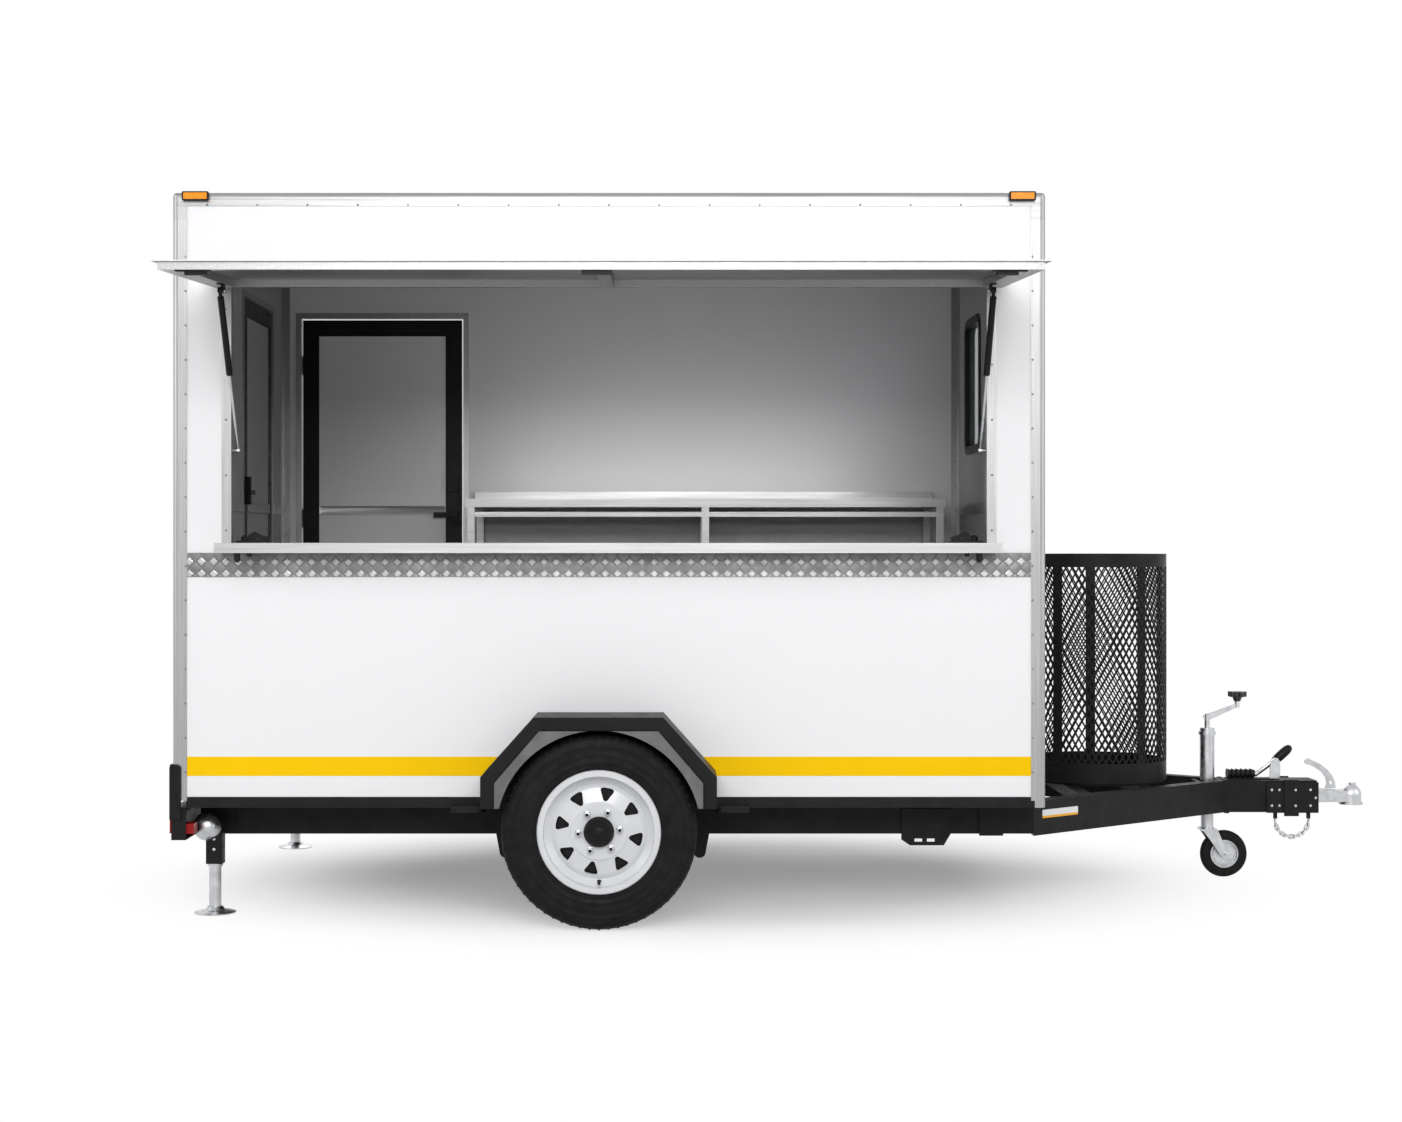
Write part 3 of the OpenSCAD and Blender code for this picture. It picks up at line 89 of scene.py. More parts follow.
# %% Material helpers
class Finish:
    """One material under construction: its shader, and short names for the nodes that feed it."""

    def __init__(self, name, metallic=0.0, roughness=0.5, **sockets):
        self.material = bpy.data.materials.new(name)
        self.material.use_nodes = True
        self.tree = self.material.node_tree
        self.shader = self.tree.nodes["Principled BSDF"]
        self.set("Metallic", metallic)
        self.set("Roughness", roughness)
        for socket, value in sockets.items():
            self.set(socket.replace("_", " "), value)
        self.coordinates = self.tree.nodes.new("ShaderNodeTexCoord").outputs["Object"]

    def set(self, socket, value):
        self.shader.inputs[socket].default_value = value

    def feed(self, source, socket):
        self.tree.links.new(source, self.shader.inputs[socket])

    def node(self, kind, inputs=(), **settings):
        made = self.tree.nodes.new(kind)
        for key, value in settings.items():
            setattr(made, key, value)
        for key, value in dict(inputs).items():
            if isinstance(value, bpy.types.NodeSocket):
                self.tree.links.new(value, made.inputs[key])
            else:
                made.inputs[key].default_value = value
        return made

    def noise(self, scale, detail=3.0, stretch=(1, 1, 1)):
        mapping = self.node("ShaderNodeMapping", {"Vector": self.coordinates, "Scale": stretch})
        inputs = {"Vector": mapping.outputs["Vector"], "Scale": scale, "Detail": detail}
        return self.node("ShaderNodeTexNoise", inputs).outputs["Fac"]

    def grade(self, source, low, high, start=0.3, end=0.7):
        inputs = {"Value": source, "From Min": start, "From Max": end, "To Min": low, "To Max": high}
        return self.node("ShaderNodeMapRange", inputs).outputs["Result"]

    def tint(self, source, dark, light, start=0.3, end=0.7):
        ramp = self.node("ShaderNodeValToRGB", {"Fac": source})
        ramp.color_ramp.elements[0].position = start
        ramp.color_ramp.elements[0].color = (*dark, 1)
        ramp.color_ramp.elements[1].position = end
        ramp.color_ramp.elements[1].color = (*light, 1)
        return ramp.outputs["Color"]

    def blend(self, factor, first, second):
        inputs = {"Factor": factor}
        for slot, colour in ((6, first), (7, second)):
            inputs[slot] = colour if isinstance(colour, bpy.types.NodeSocket) else (*colour, 1)
        return self.node("ShaderNodeMix", inputs, data_type="RGBA").outputs[2]

    def maths(self, operation, first, second=None):
        inputs = {0: first} if second is None else {0: first, 1: second}
        return self.node("ShaderNodeMath", inputs, operation=operation).outputs[0]

    def axes(self):
        return self.node("ShaderNodeSeparateXYZ", {"Vector": self.coordinates}).outputs

    def bump(self, height, depth, strength=1.0):
        inputs = {"Height": height, "Distance": depth, "Strength": strength}
        self.feed(self.node("ShaderNodeBump", inputs).outputs["Normal"], "Normal")


def mottled(name, colour, gloss=None, grain=None, **sockets):
    """A finish made of up to three noises, each given as its scale, its detail and what it turns into."""
    made = Finish(name, **sockets)
    scale, detail, *tones = colour
    made.feed(made.tint(made.noise(scale, detail), *tones), "Base Color")
    if gloss:
        scale, detail, *ends = gloss
        made.feed(made.grade(made.noise(scale, detail), *ends), "Roughness")
    if grain:
        scale, detail, *lift = grain
        made.bump(made.noise(scale, detail), *lift)
    return made


def dress(nodes, finish):
    """Gives the finish to CAD nodes, by name."""
    for name in nodes:
        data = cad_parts[name].data
        data.materials.clear()
        data.materials.append(finish.material)
    print(finish.material.name, "->", ", ".join(nodes))


print("finish helpers ready")

# %% [markdown]
# ## Light
# A white studio is a pale world with soft lamps in it. The world looks pure white to the eye, in
# reflections and through glass, but lights the trailer more gently.

# %% World
STUDIO_WHITE = (1.0, 1.0, 1.0, 1.0)
WORLD_LIGHT = 0.3


def white_for_eye(tree):
    """1 for rays from the eye, a reflection or a glass pane, and 0 for rays that carry light."""
    path = tree.nodes.new("ShaderNodeLightPath")
    seen = path.outputs["Is Camera Ray"]
    for kind in ("Is Transmission Ray", "Is Glossy Ray"):
        either = tree.nodes.new("ShaderNodeMath")
        either.operation = "MAXIMUM"
        tree.links.new(seen, either.inputs[0])
        tree.links.new(path.outputs[kind], either.inputs[1])
        seen = either.outputs[0]
    return seen


def build_world():
    world = bpy.data.worlds.new("studio")
    world.use_nodes = True
    tree = world.node_tree
    background = tree.nodes["Background"]
    background.inputs["Color"].default_value = STUDIO_WHITE
    strength = tree.nodes.new("ShaderNodeMapRange")
    strength.inputs["To Min"].default_value = WORLD_LIGHT
    strength.inputs["To Max"].default_value = 1.0
    tree.links.new(white_for_eye(tree), strength.inputs["Value"])
    tree.links.new(strength.outputs["Result"], background.inputs["Strength"])
    bpy.context.scene.world = world


build_world()
bpy.context.scene.view_settings.view_transform = "Standard"
print("world light", WORLD_LIGHT)

# %% [markdown]
# ## Lamps
# Two big soft lamps stand in front. The second is lower, so that its light reaches in under the open
# hatch. Others stand at the sides and behind, and a small lamp inside the cabin stands for the light that
# the counter and table throw up at the far wall.

# %% Lamps
def add_softbox(name, spot, aim, size, watts):
    bpy.ops.object.select_all(action="DESELECT")
    bpy.ops.object.light_add(type="AREA", location=spot)
    lamp = bpy.context.object
    lamp.name = name
    lamp.data.shape = "RECTANGLE"
    lamp.data.size, lamp.data.size_y = size
    lamp.data.energy = watts
    lamp.rotation_euler = (Vector(aim) - Vector(spot)).to_track_quat("-Z", "Y").to_euler()
    lamp.visible_camera = False
    return lamp


add_softbox("key_lamp", (0.0, -7.0, 5.5), (0.0, -0.5, 1.1), (8.0, 3.5), 120)
add_softbox("fill_lamp", (0.3, -8.5, 3.7), (0.3, 0.0, 1.2), (5.0, 2.4), 275)
add_softbox("cabin_lamp", (0.28, 0.42, 1.6), (0.28, 0.965, 1.54), (1.5, 0.08), 1.8)
add_softbox("left_lamp", (-6.5, -3.0, 3.0), (0.0, 0.0, 1.2), (4.0, 4.0), 90)
add_softbox("right_lamp", (7.5, -3.0, 3.0), (0.5, 0.0, 1.2), (4.0, 4.0), 90)
add_softbox("back_lamp", (0.0, 7.0, 5.0), (0.0, 0.0, 1.2), (7.0, 3.0), 170)
print("six soft lamps")

# %% [markdown]
# ## Floor
# The studio floor and its far sweep are one white sheet. It should be seen white, yet it has to keep the
# soft shadow that holds the trailer down, so a little of its own light is added only where it is seen: by
# the eye, in a reflection or through glass.

# %% Floor
FLOOR_GLOW = 0.28
NEAR_FLOOR, FAR_FLOOR = 0.85, 2.0
FLOOR_MIDDLE, FLOOR_SHAPE = (-0.28, 0.0, 0.0), (0.86, 1.12, 1.0)


def floor_finish():
    """A grey-white sheet that glows to the eye and turns pure white further out."""
    sheet = Finish("studio_floor", roughness=1.0, Specular_IOR_Level=0.0, Base_Color=(0.8, 0.8, 0.8, 1),
                   Emission_Color=STUDIO_WHITE)
    eye = white_for_eye(sheet.tree)
    sheet.feed(sheet.maths("MULTIPLY", eye, FLOOR_GLOW), "Emission Strength")
    inputs = {"Vector": sheet.coordinates, "Location": FLOOR_MIDDLE, "Scale": FLOOR_SHAPE}
    oval = sheet.node("ShaderNodeMapping", inputs).outputs["Vector"]
    distance = sheet.node("ShaderNodeVectorMath", {0: oval}, operation="LENGTH").outputs["Value"]
    inputs = {"Value": distance, "From Min": NEAR_FLOOR, "From Max": FAR_FLOOR}
    fade = sheet.node("ShaderNodeMapRange", inputs, interpolation_type="SMOOTHSTEP").outputs["Result"]
    white = sheet.node("ShaderNodeEmission", {"Color": STUDIO_WHITE}).outputs["Emission"]
    inputs = {"Fac": sheet.maths("MULTIPLY", fade, eye), 1: sheet.shader.outputs["BSDF"], 2: white}
    mix = sheet.node("ShaderNodeMixShader", inputs)
    sheet.tree.links.new(mix.outputs["Shader"], sheet.tree.nodes["Material Output"].inputs["Surface"])
    return sheet


def add_floor():
    bpy.ops.object.select_all(action="DESELECT")
    bpy.ops.mesh.primitive_plane_add(size=60, location=(0, 0, -0.0005))
    floor = bpy.context.object
    floor.name = "studio_floor"
    floor.data.materials.append(floor_finish().material)


add_floor()
print("floor glow", FLOOR_GLOW)

# %% [markdown]
# ## White panels
# The walls are sandwich panels with a gel coat outside: white, smooth, with a faint ripple from the weave
# beneath. Inside, the lining is painted a mid grey, darker than the outside white: painted shade for the
# dim cabin. One material does both and picks by where the point lies.

# %% Wall panels
WALL_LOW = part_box("rear_wall")[0]
WALL_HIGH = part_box("front_wall")[1]
SKIN_DEPTH = 0.006


def gel_coat(paint):
    """The outside white, almost even."""
    return paint.tint(paint.noise(1.3, 2.0), (0.862, 0.864, 0.878), (0.868, 0.87, 0.884), 0.1, 0.9)


def panel_finish():
    paint = Finish("white_panel", roughness=0.3, Specular_IOR_Level=0.3)
    # The lining's grey is painted shade, standing for the dim light inside the cabin.
    inside = paint.tint(paint.noise(2.5, 2.0), (0.5, 0.495, 0.49), (0.52, 0.515, 0.51), 0.1, 0.9)
    x, y, z = paint.axes()
    half_y = WALL_HIGH.y - SKIN_DEPTH
    middle_x = (WALL_LOW.x + WALL_HIGH.x) / 2
    half_x = (WALL_HIGH.x - WALL_LOW.x) / 2 - SKIN_DEPTH
    from_middle = paint.maths("ABSOLUTE", paint.maths("SUBTRACT", x, middle_x))
    within_x = paint.maths("LESS_THAN", from_middle, half_x)
    within_y = paint.maths("LESS_THAN", paint.maths("ABSOLUTE", y), half_y)
    within_z = paint.maths("LESS_THAN", z, WALL_HIGH.z + SKIN_DEPTH)
    lining = paint.maths("MULTIPLY", paint.maths("MULTIPLY", within_x, within_y), within_z)
    paint.feed(paint.blend(lining, gel_coat(paint), inside), "Base Color")
    gloss = paint.grade(paint.noise(9.0, 2.0), 0.3, 0.33)
    paint.feed(paint.maths("ADD", gloss, paint.maths("MULTIPLY", lining, 0.25)), "Roughness")
    paint.bump(paint.noise(140.0, 2.0), 0.0002, 0.2)
    return paint


white_panel = panel_finish()
dress(["serving_wall", "far_wall", "rear_wall", "front_wall", "roof", "rear_door_panel", "side_door_panel"],
      white_panel)

# %% [markdown]
# ## Hatch sheet
# The hatch has the same white coat above. On the side that faces down when it is open it is painted a dark
# grey with rolled streaks: painted shade for the shadowed underside.

# %% Hatch sheet
def hatch_finish():
    sheet = Finish("hatch_sheet", roughness=0.34, Specular_IOR_Level=0.3)
    normal = sheet.node("ShaderNodeTexCoord").outputs["Normal"]
    height = sheet.node("ShaderNodeSeparateXYZ", {"Vector": normal}).outputs[2]
    below = sheet.maths("LESS_THAN", height, -0.5)
    rolled = sheet.noise(1.0, 3.0, (3.0, 30.0, 30.0))
    # The dark grey underside is painted shade. The streaks stand for rolled sheet.
    painted_shade_underside = sheet.tint(rolled, (0.11, 0.11, 0.11), (0.14, 0.14, 0.137), 0.2, 0.8)
    sheet.feed(sheet.blend(below, gel_coat(sheet), painted_shade_underside), "Base Color")
    sheet.bump(sheet.noise(140.0, 2.0), 0.0004, 0.2)
    return sheet


dress(["hatch_skin"], hatch_finish())

# %% [markdown]
# ## Aluminium
# Posts, rails and trims are mill-finish extrusions. Each is drawn through its die along its length, which
# leaves fine lines that way, so the noise is stretched along the piece's own direction. The copies are
# also given lighter or darker tones by how lit their pieces are, which is painted light and shade.

# %% Extruded aluminium
def aluminium_finish(name, grain, dark, light):
    metal = Finish(name, metallic=1.0, roughness=0.36)
    streaks = metal.noise(1.0, 6.0, grain)
    metal.feed(metal.tint(streaks, (dark,) * 3, (light, light, light * 1.01)), "Base Color")
    metal.feed(metal.grade(metal.noise(1.0, 4.0, tuple(g * 0.6 for g in grain)), 0.3, 0.46), "Roughness")
    metal.bump(streaks, 0.0003, 0.3)
    return metal


# Each copy's tone is painted light and shade: darker for the tread strip and the top rails, lighter for the
# counter.
FINE, LONG = 260.0, 3.0
shaded_lengthways_metal = aluminium_finish("aluminium_lengthways_shaded", (LONG, FINE, FINE), 0.27, 0.37)
lit_counter_metal = aluminium_finish("aluminium_counter_lit", (LONG, FINE, FINE), 0.37, 0.48)
upright_metal = aluminium_finish("aluminium_upright", (FINE, FINE, LONG), 0.31, 0.41)
inner_metal = aluminium_finish("aluminium_inner", (LONG, FINE, FINE), 0.33, 0.44)
shaded_metal = aluminium_finish("aluminium_hatch", (FINE, LONG, FINE), 0.35, 0.46)
shaded_tread_metal = aluminium_finish("tread_plate", (40.0, 40.0, 40.0), 0.125, 0.2)
dress(["top_rails"], shaded_lengthways_metal)
dress(["work_table", "rub_rails"], inner_metal)
dress(["counter"], lit_counter_metal)
dress(["hatch_frame"], shaded_metal)
dress(["corner_posts", "hatch_trim", "door_surrounds"], upright_metal)
dress(["tread_strip"], shaded_tread_metal)

# %% [markdown]
# ## Stripe
# The stripe is a band of glossy film on the wall: one even, strong yellow with the wall's ripple showing
# through.

# %% Stripe
yellow_stripe = mottled("yellow_stripe", (3.0, 2.0, (0.95, 0.575, 0.0), (0.99, 0.6, 0.001)),
                        grain=(140.0, 2.0, 0.0003, 0.2), roughness=0.4, Specular_IOR_Level=0.08)
dress(["stripes"], yellow_stripe)

# %% [markdown]
# ## Black steel
# The chassis is painted after welding. The paint is satin and a little uneven.

# %% Painted steel
def steel_finish(name, dark, light):
    return mottled(name, (14.0, 5.0, dark, light), (30.0, 4.0, 0.38, 0.55), (420.0, 3.0, 0.0004, 0.35),
                   Specular_IOR_Level=0.14)


black_steel = steel_finish("black_steel", (0.008, 0.008, 0.009), (0.014, 0.014, 0.015))
dress(["chassis_frame", "drawbar", "axle", "leaf_springs", "rear_bar", "gas_cage", "gas_cage_mesh",
       "handbrake", "jack_hub_right", "jack_hub_left"], black_steel)
grey_plate = steel_finish("grey_plate", (0.13, 0.13, 0.135), (0.19, 0.19, 0.195))
dress(["arch_plates"], grey_plate)
floor_board = steel_finish("floor_board", (0.05, 0.047, 0.045), (0.09, 0.085, 0.08))
dress(["floor"], floor_board)

# %% [markdown]
# ## Moulded plastic
# Mudguards, latches and door frames are moulded or powder coated in black, with a fine leathery grain.

# %% Black plastics
def moulded_finish(name, dark, light, rough, grain, depth):
    plastic = Finish(name, roughness=rough, Specular_IOR_Level=0.14)
    plastic.feed(plastic.tint(plastic.noise(8.0, 3.0), dark, light), "Base Color")
    cells = plastic.node("ShaderNodeTexVoronoi", {"Vector": plastic.coordinates, "Scale": grain})
    plastic.bump(cells.outputs["Distance"], depth, 0.35)
    plastic.feed(plastic.grade(plastic.noise(25.0, 3.0), rough - 0.06, rough + 0.08), "Roughness")
    return plastic


guard_plastic = moulded_finish("fender_black", (0.006, 0.006, 0.0065), (0.01, 0.01, 0.011),
                               rough=0.42, grain=900.0, depth=0.0004)
dress(["fenders"], guard_plastic)
black_plastic = moulded_finish("black_plastic", (0.006, 0.006, 0.006), (0.011, 0.011, 0.011),
                               rough=0.38, grain=1400.0, depth=0.0002)
dress(["counter_latches", "hatch_hardware", "strut_cylinder_rear", "strut_cylinder_front",
       "rear_door_frame", "side_door_frame", "window_frame", "hub_cap_right", "hub_cap_left"],
      black_plastic)

# %% [markdown]
# ## Zinc plating
# Legs, jockey wheel, coupling and chain are plated. Zinc is a bright, slightly blue metal with cloudy
# patches.

# %% Plated steel
def zinc_clouds(metal):
    """Feeds the plating's uneven gloss and returns its cloudy colour."""
    metal.feed(metal.grade(metal.noise(60.0, 4.0), 0.24, 0.45), "Roughness")
    return metal.tint(metal.noise(26.0, 5.0), (0.44, 0.45, 0.465), (0.6, 0.61, 0.625))


def zinc_finish():
    metal = Finish("zinc_steel", metallic=1.0)
    metal.feed(zinc_clouds(metal), "Base Color")
    metal.bump(metal.noise(300.0, 2.0), 0.0002, 0.15)
    return metal


zinc_steel = zinc_finish()
dress(["strut_rod_rear", "strut_rod_front", "jockey_leg", "jockey_fork", "jockey_hub",
       "coupling_head", "coupling_handle", "safety_chain", "jack_leg_right", "jack_leg_left"], zinc_steel)

# %% [markdown]
# ## Crank knob
# The jockey stand and its crank are plated, but the knob at the crank's end is black plastic. Both are
# one node, so this finish changes at the knob's foot.

# %% Stand and knob
KNOB_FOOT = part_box("jockey_stand")[1].z - 0.037


def stand_finish():
    metal = Finish("stand_and_knob")
    knob = metal.maths("GREATER_THAN", metal.axes()["Z"], KNOB_FOOT)
    metal.feed(metal.blend(knob, zinc_clouds(metal), (0.008, 0.008, 0.008)), "Base Color")
    metal.feed(metal.maths("SUBTRACT", 1.0, knob), "Metallic")
    metal.bump(metal.noise(300.0, 3.0), 0.0003, 0.3)
    return metal


dress(["jockey_stand"], stand_finish())

# %% [markdown]
# ## Wheels
# The steel rims are sprayed glossy white, and the rubber is almost black, dull, with fine rings moulded
# round it.

# %% Rims and rubber
rim_paint = mottled("rim_paint", (9.0, 3.0, (0.66, 0.67, 0.695), (0.71, 0.72, 0.745)),
                    grain=(260.0, 3.0, 0.0003, 0.2), roughness=0.25, Coat_Weight=0.5, Coat_Roughness=0.08)
rubber = mottled("tyre", (20.0, 4.0, (0.006, 0.006, 0.006), (0.012, 0.012, 0.012)),
                 gloss=(45.0, 3.0, 0.52, 0.72), grain=(500.0, 4.0, 0.0004, 0.4), Specular_IOR_Level=0.12)
dress(["wheel_rim_right", "wheel_rim_left"], rim_paint)
dress(["tyre_right", "tyre_left", "jockey_tyre"], rubber)

# %% [markdown]
# ## Lamps and glass
# A lamp's lens is clear coloured plastic with small ribs moulded inside. The window pane is lightly
# tinted.

# %% Lenses and pane
def lens_finish(name, dark, light):
    lens = Finish(name, roughness=0.4, Coat_Weight=0.15, Coat_Roughness=0.1, Specular_IOR_Level=0.2)
    ribs = lens.node("ShaderNodeTexWave", {"Vector": lens.coordinates, "Scale": 60.0})
    lens.feed(lens.tint(ribs.outputs["Fac"], dark, light, 0.1, 0.9), "Base Color")
    lens.bump(ribs.outputs["Fac"], 0.001, 0.4)
    return lens


window_glass = mottled("window_glass", (3.0, 2.0, (0.55, 0.58, 0.6), (0.62, 0.65, 0.67)), roughness=0.03,
                       IOR=1.1, Transmission_Weight=0.9)
dress(["marker_lamps"], lens_finish("amber_lens", (0.85, 0.24, 0.002), (1.0, 0.36, 0.004)))
dress(["tail_lamps"], lens_finish("red_lens", (0.25, 0.004, 0.004), (0.42, 0.008, 0.006)))
dress(["window_glass"], window_glass)

# %% [markdown]
# ## Tools for making pieces
# Every new piece starts as one of Blender's primitives and is shaped in edit mode. These helpers keep the
# selection honest: nothing is selected when a primitive is added, and faces are picked by where they lie.

# %% Piece helpers
def start(kind, **settings):
    """Adds a primitive with nothing else selected and returns it."""
    bpy.ops.object.select_all(action="DESELECT")
    getattr(bpy.ops.mesh, "primitive_" + kind + "_add")(**settings)
    return bpy.context.object


def choose(piece):
    """Makes the piece the only selected object."""
    bpy.ops.object.select_all(action="DESELECT")
    piece.select_set(True)
    bpy.context.view_layer.objects.active = piece


def edit(piece, mode="FACE", action="DESELECT"):
    """Enters edit mode, with nothing selected unless asked."""
    choose(piece)
    bpy.ops.object.mode_set(mode="EDIT")
    bpy.ops.mesh.select_mode(type=mode)
    bpy.ops.mesh.select_all(action=action)


def leave():
    bpy.ops.object.mode_set(mode="OBJECT")


def pick(piece, test):
    """Selects the faces, edges or points, by mode, whose middle and normal pass the test."""
    mesh = bmesh.from_edit_mesh(piece.data)
    mode = bpy.context.tool_settings.mesh_select_mode[:]
    if mode[2]:
        items = [(f, f.calc_center_median(), f.normal) for f in mesh.faces]
    elif mode[1]:
        items = [(e, (e.verts[0].co + e.verts[1].co) / 2, (e.verts[1].co - e.verts[0].co).normalized())
                 for e in mesh.edges]
    else:
        items = [(v, v.co, v.normal) for v in mesh.verts]
    for item, middle, normal in items:
        item.select_set(bool(test(middle, normal)))
    mesh.select_flush_mode()
    bmesh.update_edit_mesh(piece.data)


def inset(piece, test, thickness, depth):
    """Insets the faces that pass the test and lifts them."""
    edit(piece)
    pick(piece, test)
    bpy.ops.mesh.inset(thickness=thickness, depth=depth)
    leave()


def modify(piece, kind, **settings):
    """Adds one modifier and applies it."""
    choose(piece)
    modifier = piece.modifiers.new(kind.lower(), kind)
    for key, value in settings.items():
        setattr(modifier, key, value)
    bpy.ops.object.modifier_apply(modifier=modifier.name)
    return piece


def soften(piece, width, segments=2):
    """Rounds every sharp edge a little, as paint and casting do."""
    return modify(piece, "BEVEL", width=width, segments=segments, limit_method="ANGLE",
                  angle_limit=radians(35))


print("shaping helpers ready")

# %% [markdown]
# ## Placing and naming pieces
# A piece is moved with its mesh, so that its object stays at the origin. Copies have meshes of their own.
# The last helper gives a piece its name, finish and body.

# %% Placing helpers
def place(piece, spot=(0, 0, 0), turn=(0, 0, 0)):
    """Moves and turns the piece in degrees, and leaves its object at the origin."""
    choose(piece)
    piece.location = spot
    piece.rotation_euler = [radians(a) for a in turn]
    bpy.ops.object.transform_apply(location=True, rotation=True, scale=True)
    return piece


def slab(*size):
    """A box of the given size about the origin."""
    piece = start("cube", size=1.0)
    piece.scale = size
    return place(piece)


def copy_of(piece, spot=(0, 0, 0), turn=(0, 0, 0)):
    """A copy with a mesh of its own, moved and turned."""
    twin = piece.copy()
    twin.data = piece.data.copy()
    bpy.context.scene.collection.objects.link(twin)
    return place(twin, spot, turn)


def joined(pieces):
    bpy.ops.object.select_all(action="DESELECT")
    for piece in pieces:
        piece.select_set(True)
    bpy.context.view_layer.objects.active = pieces[0]
    bpy.ops.object.join()
    return bpy.context.object


def complete(piece, name, finish, body="root", replaces=(), smooth=40):
    """Names the piece, gives it its finish and fixes it to its body."""
    piece.name = name
    place(piece)
    edit(piece, action="SELECT")
    bpy.ops.mesh.normals_make_consistent(inside=False)
    leave()
    bpy.ops.object.shade_smooth_by_angle(angle=radians(smooth))
    piece.data.materials.clear()
    piece.data.materials.append(finish.material)
    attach(piece, body)
    if replaces:
        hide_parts(*replaces)
    print(name, "faces:", len(piece.data.polygons))
    return piece


print("placing helpers ready")

# %% [markdown]
# ## Two ways to make a shape
# Round things are turned: a ring is extruded and resized step by step along an outline. Flat things are
# plates cut from a filled outline with rounded edges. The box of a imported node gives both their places.

# %% Turned pieces and plates
def turned(outline, around=32):
    """Turns steps of (radius, height) about Z, as on a lathe. An open outline has its ends filled."""
    radius, height = outline[0]
    closed = outline[0] == outline[-1]
    fill = "NOTHING" if closed else "NGON"
    piece = start("circle", vertices=around, radius=radius, location=(0, 0, 0), fill_type=fill)
    edit(piece, "EDGE", "SELECT")
    bpy.ops.transform.translate(value=(0, 0, height))
    for wider, higher in outline[1:]:
        bpy.ops.mesh.extrude_edges_move(TRANSFORM_OT_translate={"value": (0, 0, higher - height)})
        ratio = wider / radius
        bpy.ops.transform.resize(value=(ratio, ratio, 1), center_override=(0, 0, 0))
        radius, height = wider, higher
    if not closed:
        bpy.ops.mesh.edge_face_add()
    bpy.ops.mesh.select_all(action="SELECT")
    bpy.ops.mesh.remove_doubles(threshold=0.00001)
    leave()
    return piece


def plate(loops, thick, rounding):
    """A flat plate in the XY plane between closed outlines, with rounded edges."""
    curve = bpy.data.curves.new("plate", "CURVE")
    curve.dimensions = "2D"
    curve.fill_mode = "BOTH"
    for loop in loops:
        spline = curve.splines.new("POLY")
        spline.points.add(len(loop) - 1)
        for point, (x, y) in zip(spline.points, loop):
            point.co = (x, y, 0, 1)
        spline.use_cyclic_u = True
    curve.extrude = thick / 2 - rounding
    curve.bevel_depth = rounding
    curve.bevel_resolution = 2
    curve.offset = -rounding
    piece = bpy.data.objects.new("plate", curve)
    bpy.context.scene.collection.objects.link(piece)
    choose(piece)
    bpy.ops.object.convert(target="MESH")
    return bpy.context.object


def box(node):
    low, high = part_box(node)
    return Vector(low), Vector(high)


print("shape helpers ready")

# %% [markdown]
# ## Finishes for the small pieces
# Rivets have dulled to grey, while the wheel nuts still shine. The tread plate's small squares are given a
# lighter finish and the larger ones between them a darker one: painted light and shade on the same metal.

# %% Small finishes
def bright_finish(name, dark, light, rough):
    return mottled(name, (90.0, 4.0, dark, light), (200.0, 3.0, rough - 0.08, rough + 0.12), metallic=1.0)


def tread_finish(name, dark, light):
    return mottled(name, (9.0, 4.0, (dark,) * 3, (light, light, light * 1.01), 0.35, 0.65),
                   (60.0, 3.0, 0.34, 0.5), (180.0, 3.0, 0.0003, 0.4), metallic=1.0)


rivet_metal = bright_finish("rivet_metal", (0.16, 0.16, 0.17), (0.3, 0.3, 0.31), 0.36)
nut_metal = bright_finish("nut_metal", (0.42, 0.43, 0.45), (0.66, 0.67, 0.69), 0.22)
# Two copies of one tread metal, lighter and darker: painted light and shade.
tread_lit = tread_finish("tread_lit", 0.34, 0.5)
tread_shaded = tread_finish("tread_shaded", 0.15, 0.24)
print("small finishes ready")

# %% [markdown]
# ## Rivets
# The posts, rails and trims are held by blind rivets. One rivet is the top of a ball, cut by bisecting
# it. Lines of them are arrays, and all lines are joined into one piece.

# %% Rivets
RIVET_R = 0.0042
BODY_LOW, BODY_HIGH = box("corner_posts")
SIDE_Y = BODY_HIGH.y
TRIM_LOW, TRIM_HIGH = box("hatch_trim")
POST_LINE, RAIL_LINE, TRIM_LINE = 0.046, 0.044, 0.044
POST_FOOT, TRIM_FOOT, RAIL_START = 0.51, 1.34, 0.12
RAIL_ROW_Z = box("top_rails")[1].z - RAIL_LINE
POST_ROW = (0, 0, 0.118), 16
SIDE_ROW = (0.1725, 0, 0), 17
END_ROW = (0, 0.176, 0), 11
TRIM_ROW = (0, 0, 0.19), 5


def rivet():
    ball = start("uv_sphere", segments=8, ring_count=6, radius=RIVET_R)
    edit(ball, action="SELECT")
    bpy.ops.mesh.bisect(plane_co=(0, 0, 0.0008), plane_no=(0, 0, 1), clear_inner=True, use_fill=True)
    leave()
    return place(ball, (0, 0, -0.001))


def rows_of(piece, *rows):
    """Repeats a piece along each step, the given number of times."""
    for step, count in rows:
        modify(piece, "ARRAY", count=count, use_relative_offset=False, use_constant_offset=True,
               constant_offset_displace=step)
    return piece


def riveted(name, lines):
    """One piece of many rivets. Each line has its first place, its row, and a turn that faces it outward."""
    shape = rivet()
    rows = [place(rows_of(copy_of(shape, turn=turn), row), begin) for begin, row, turn in lines]
    bpy.data.objects.remove(shape)
    complete(joined(rows), name, rivet_metal)


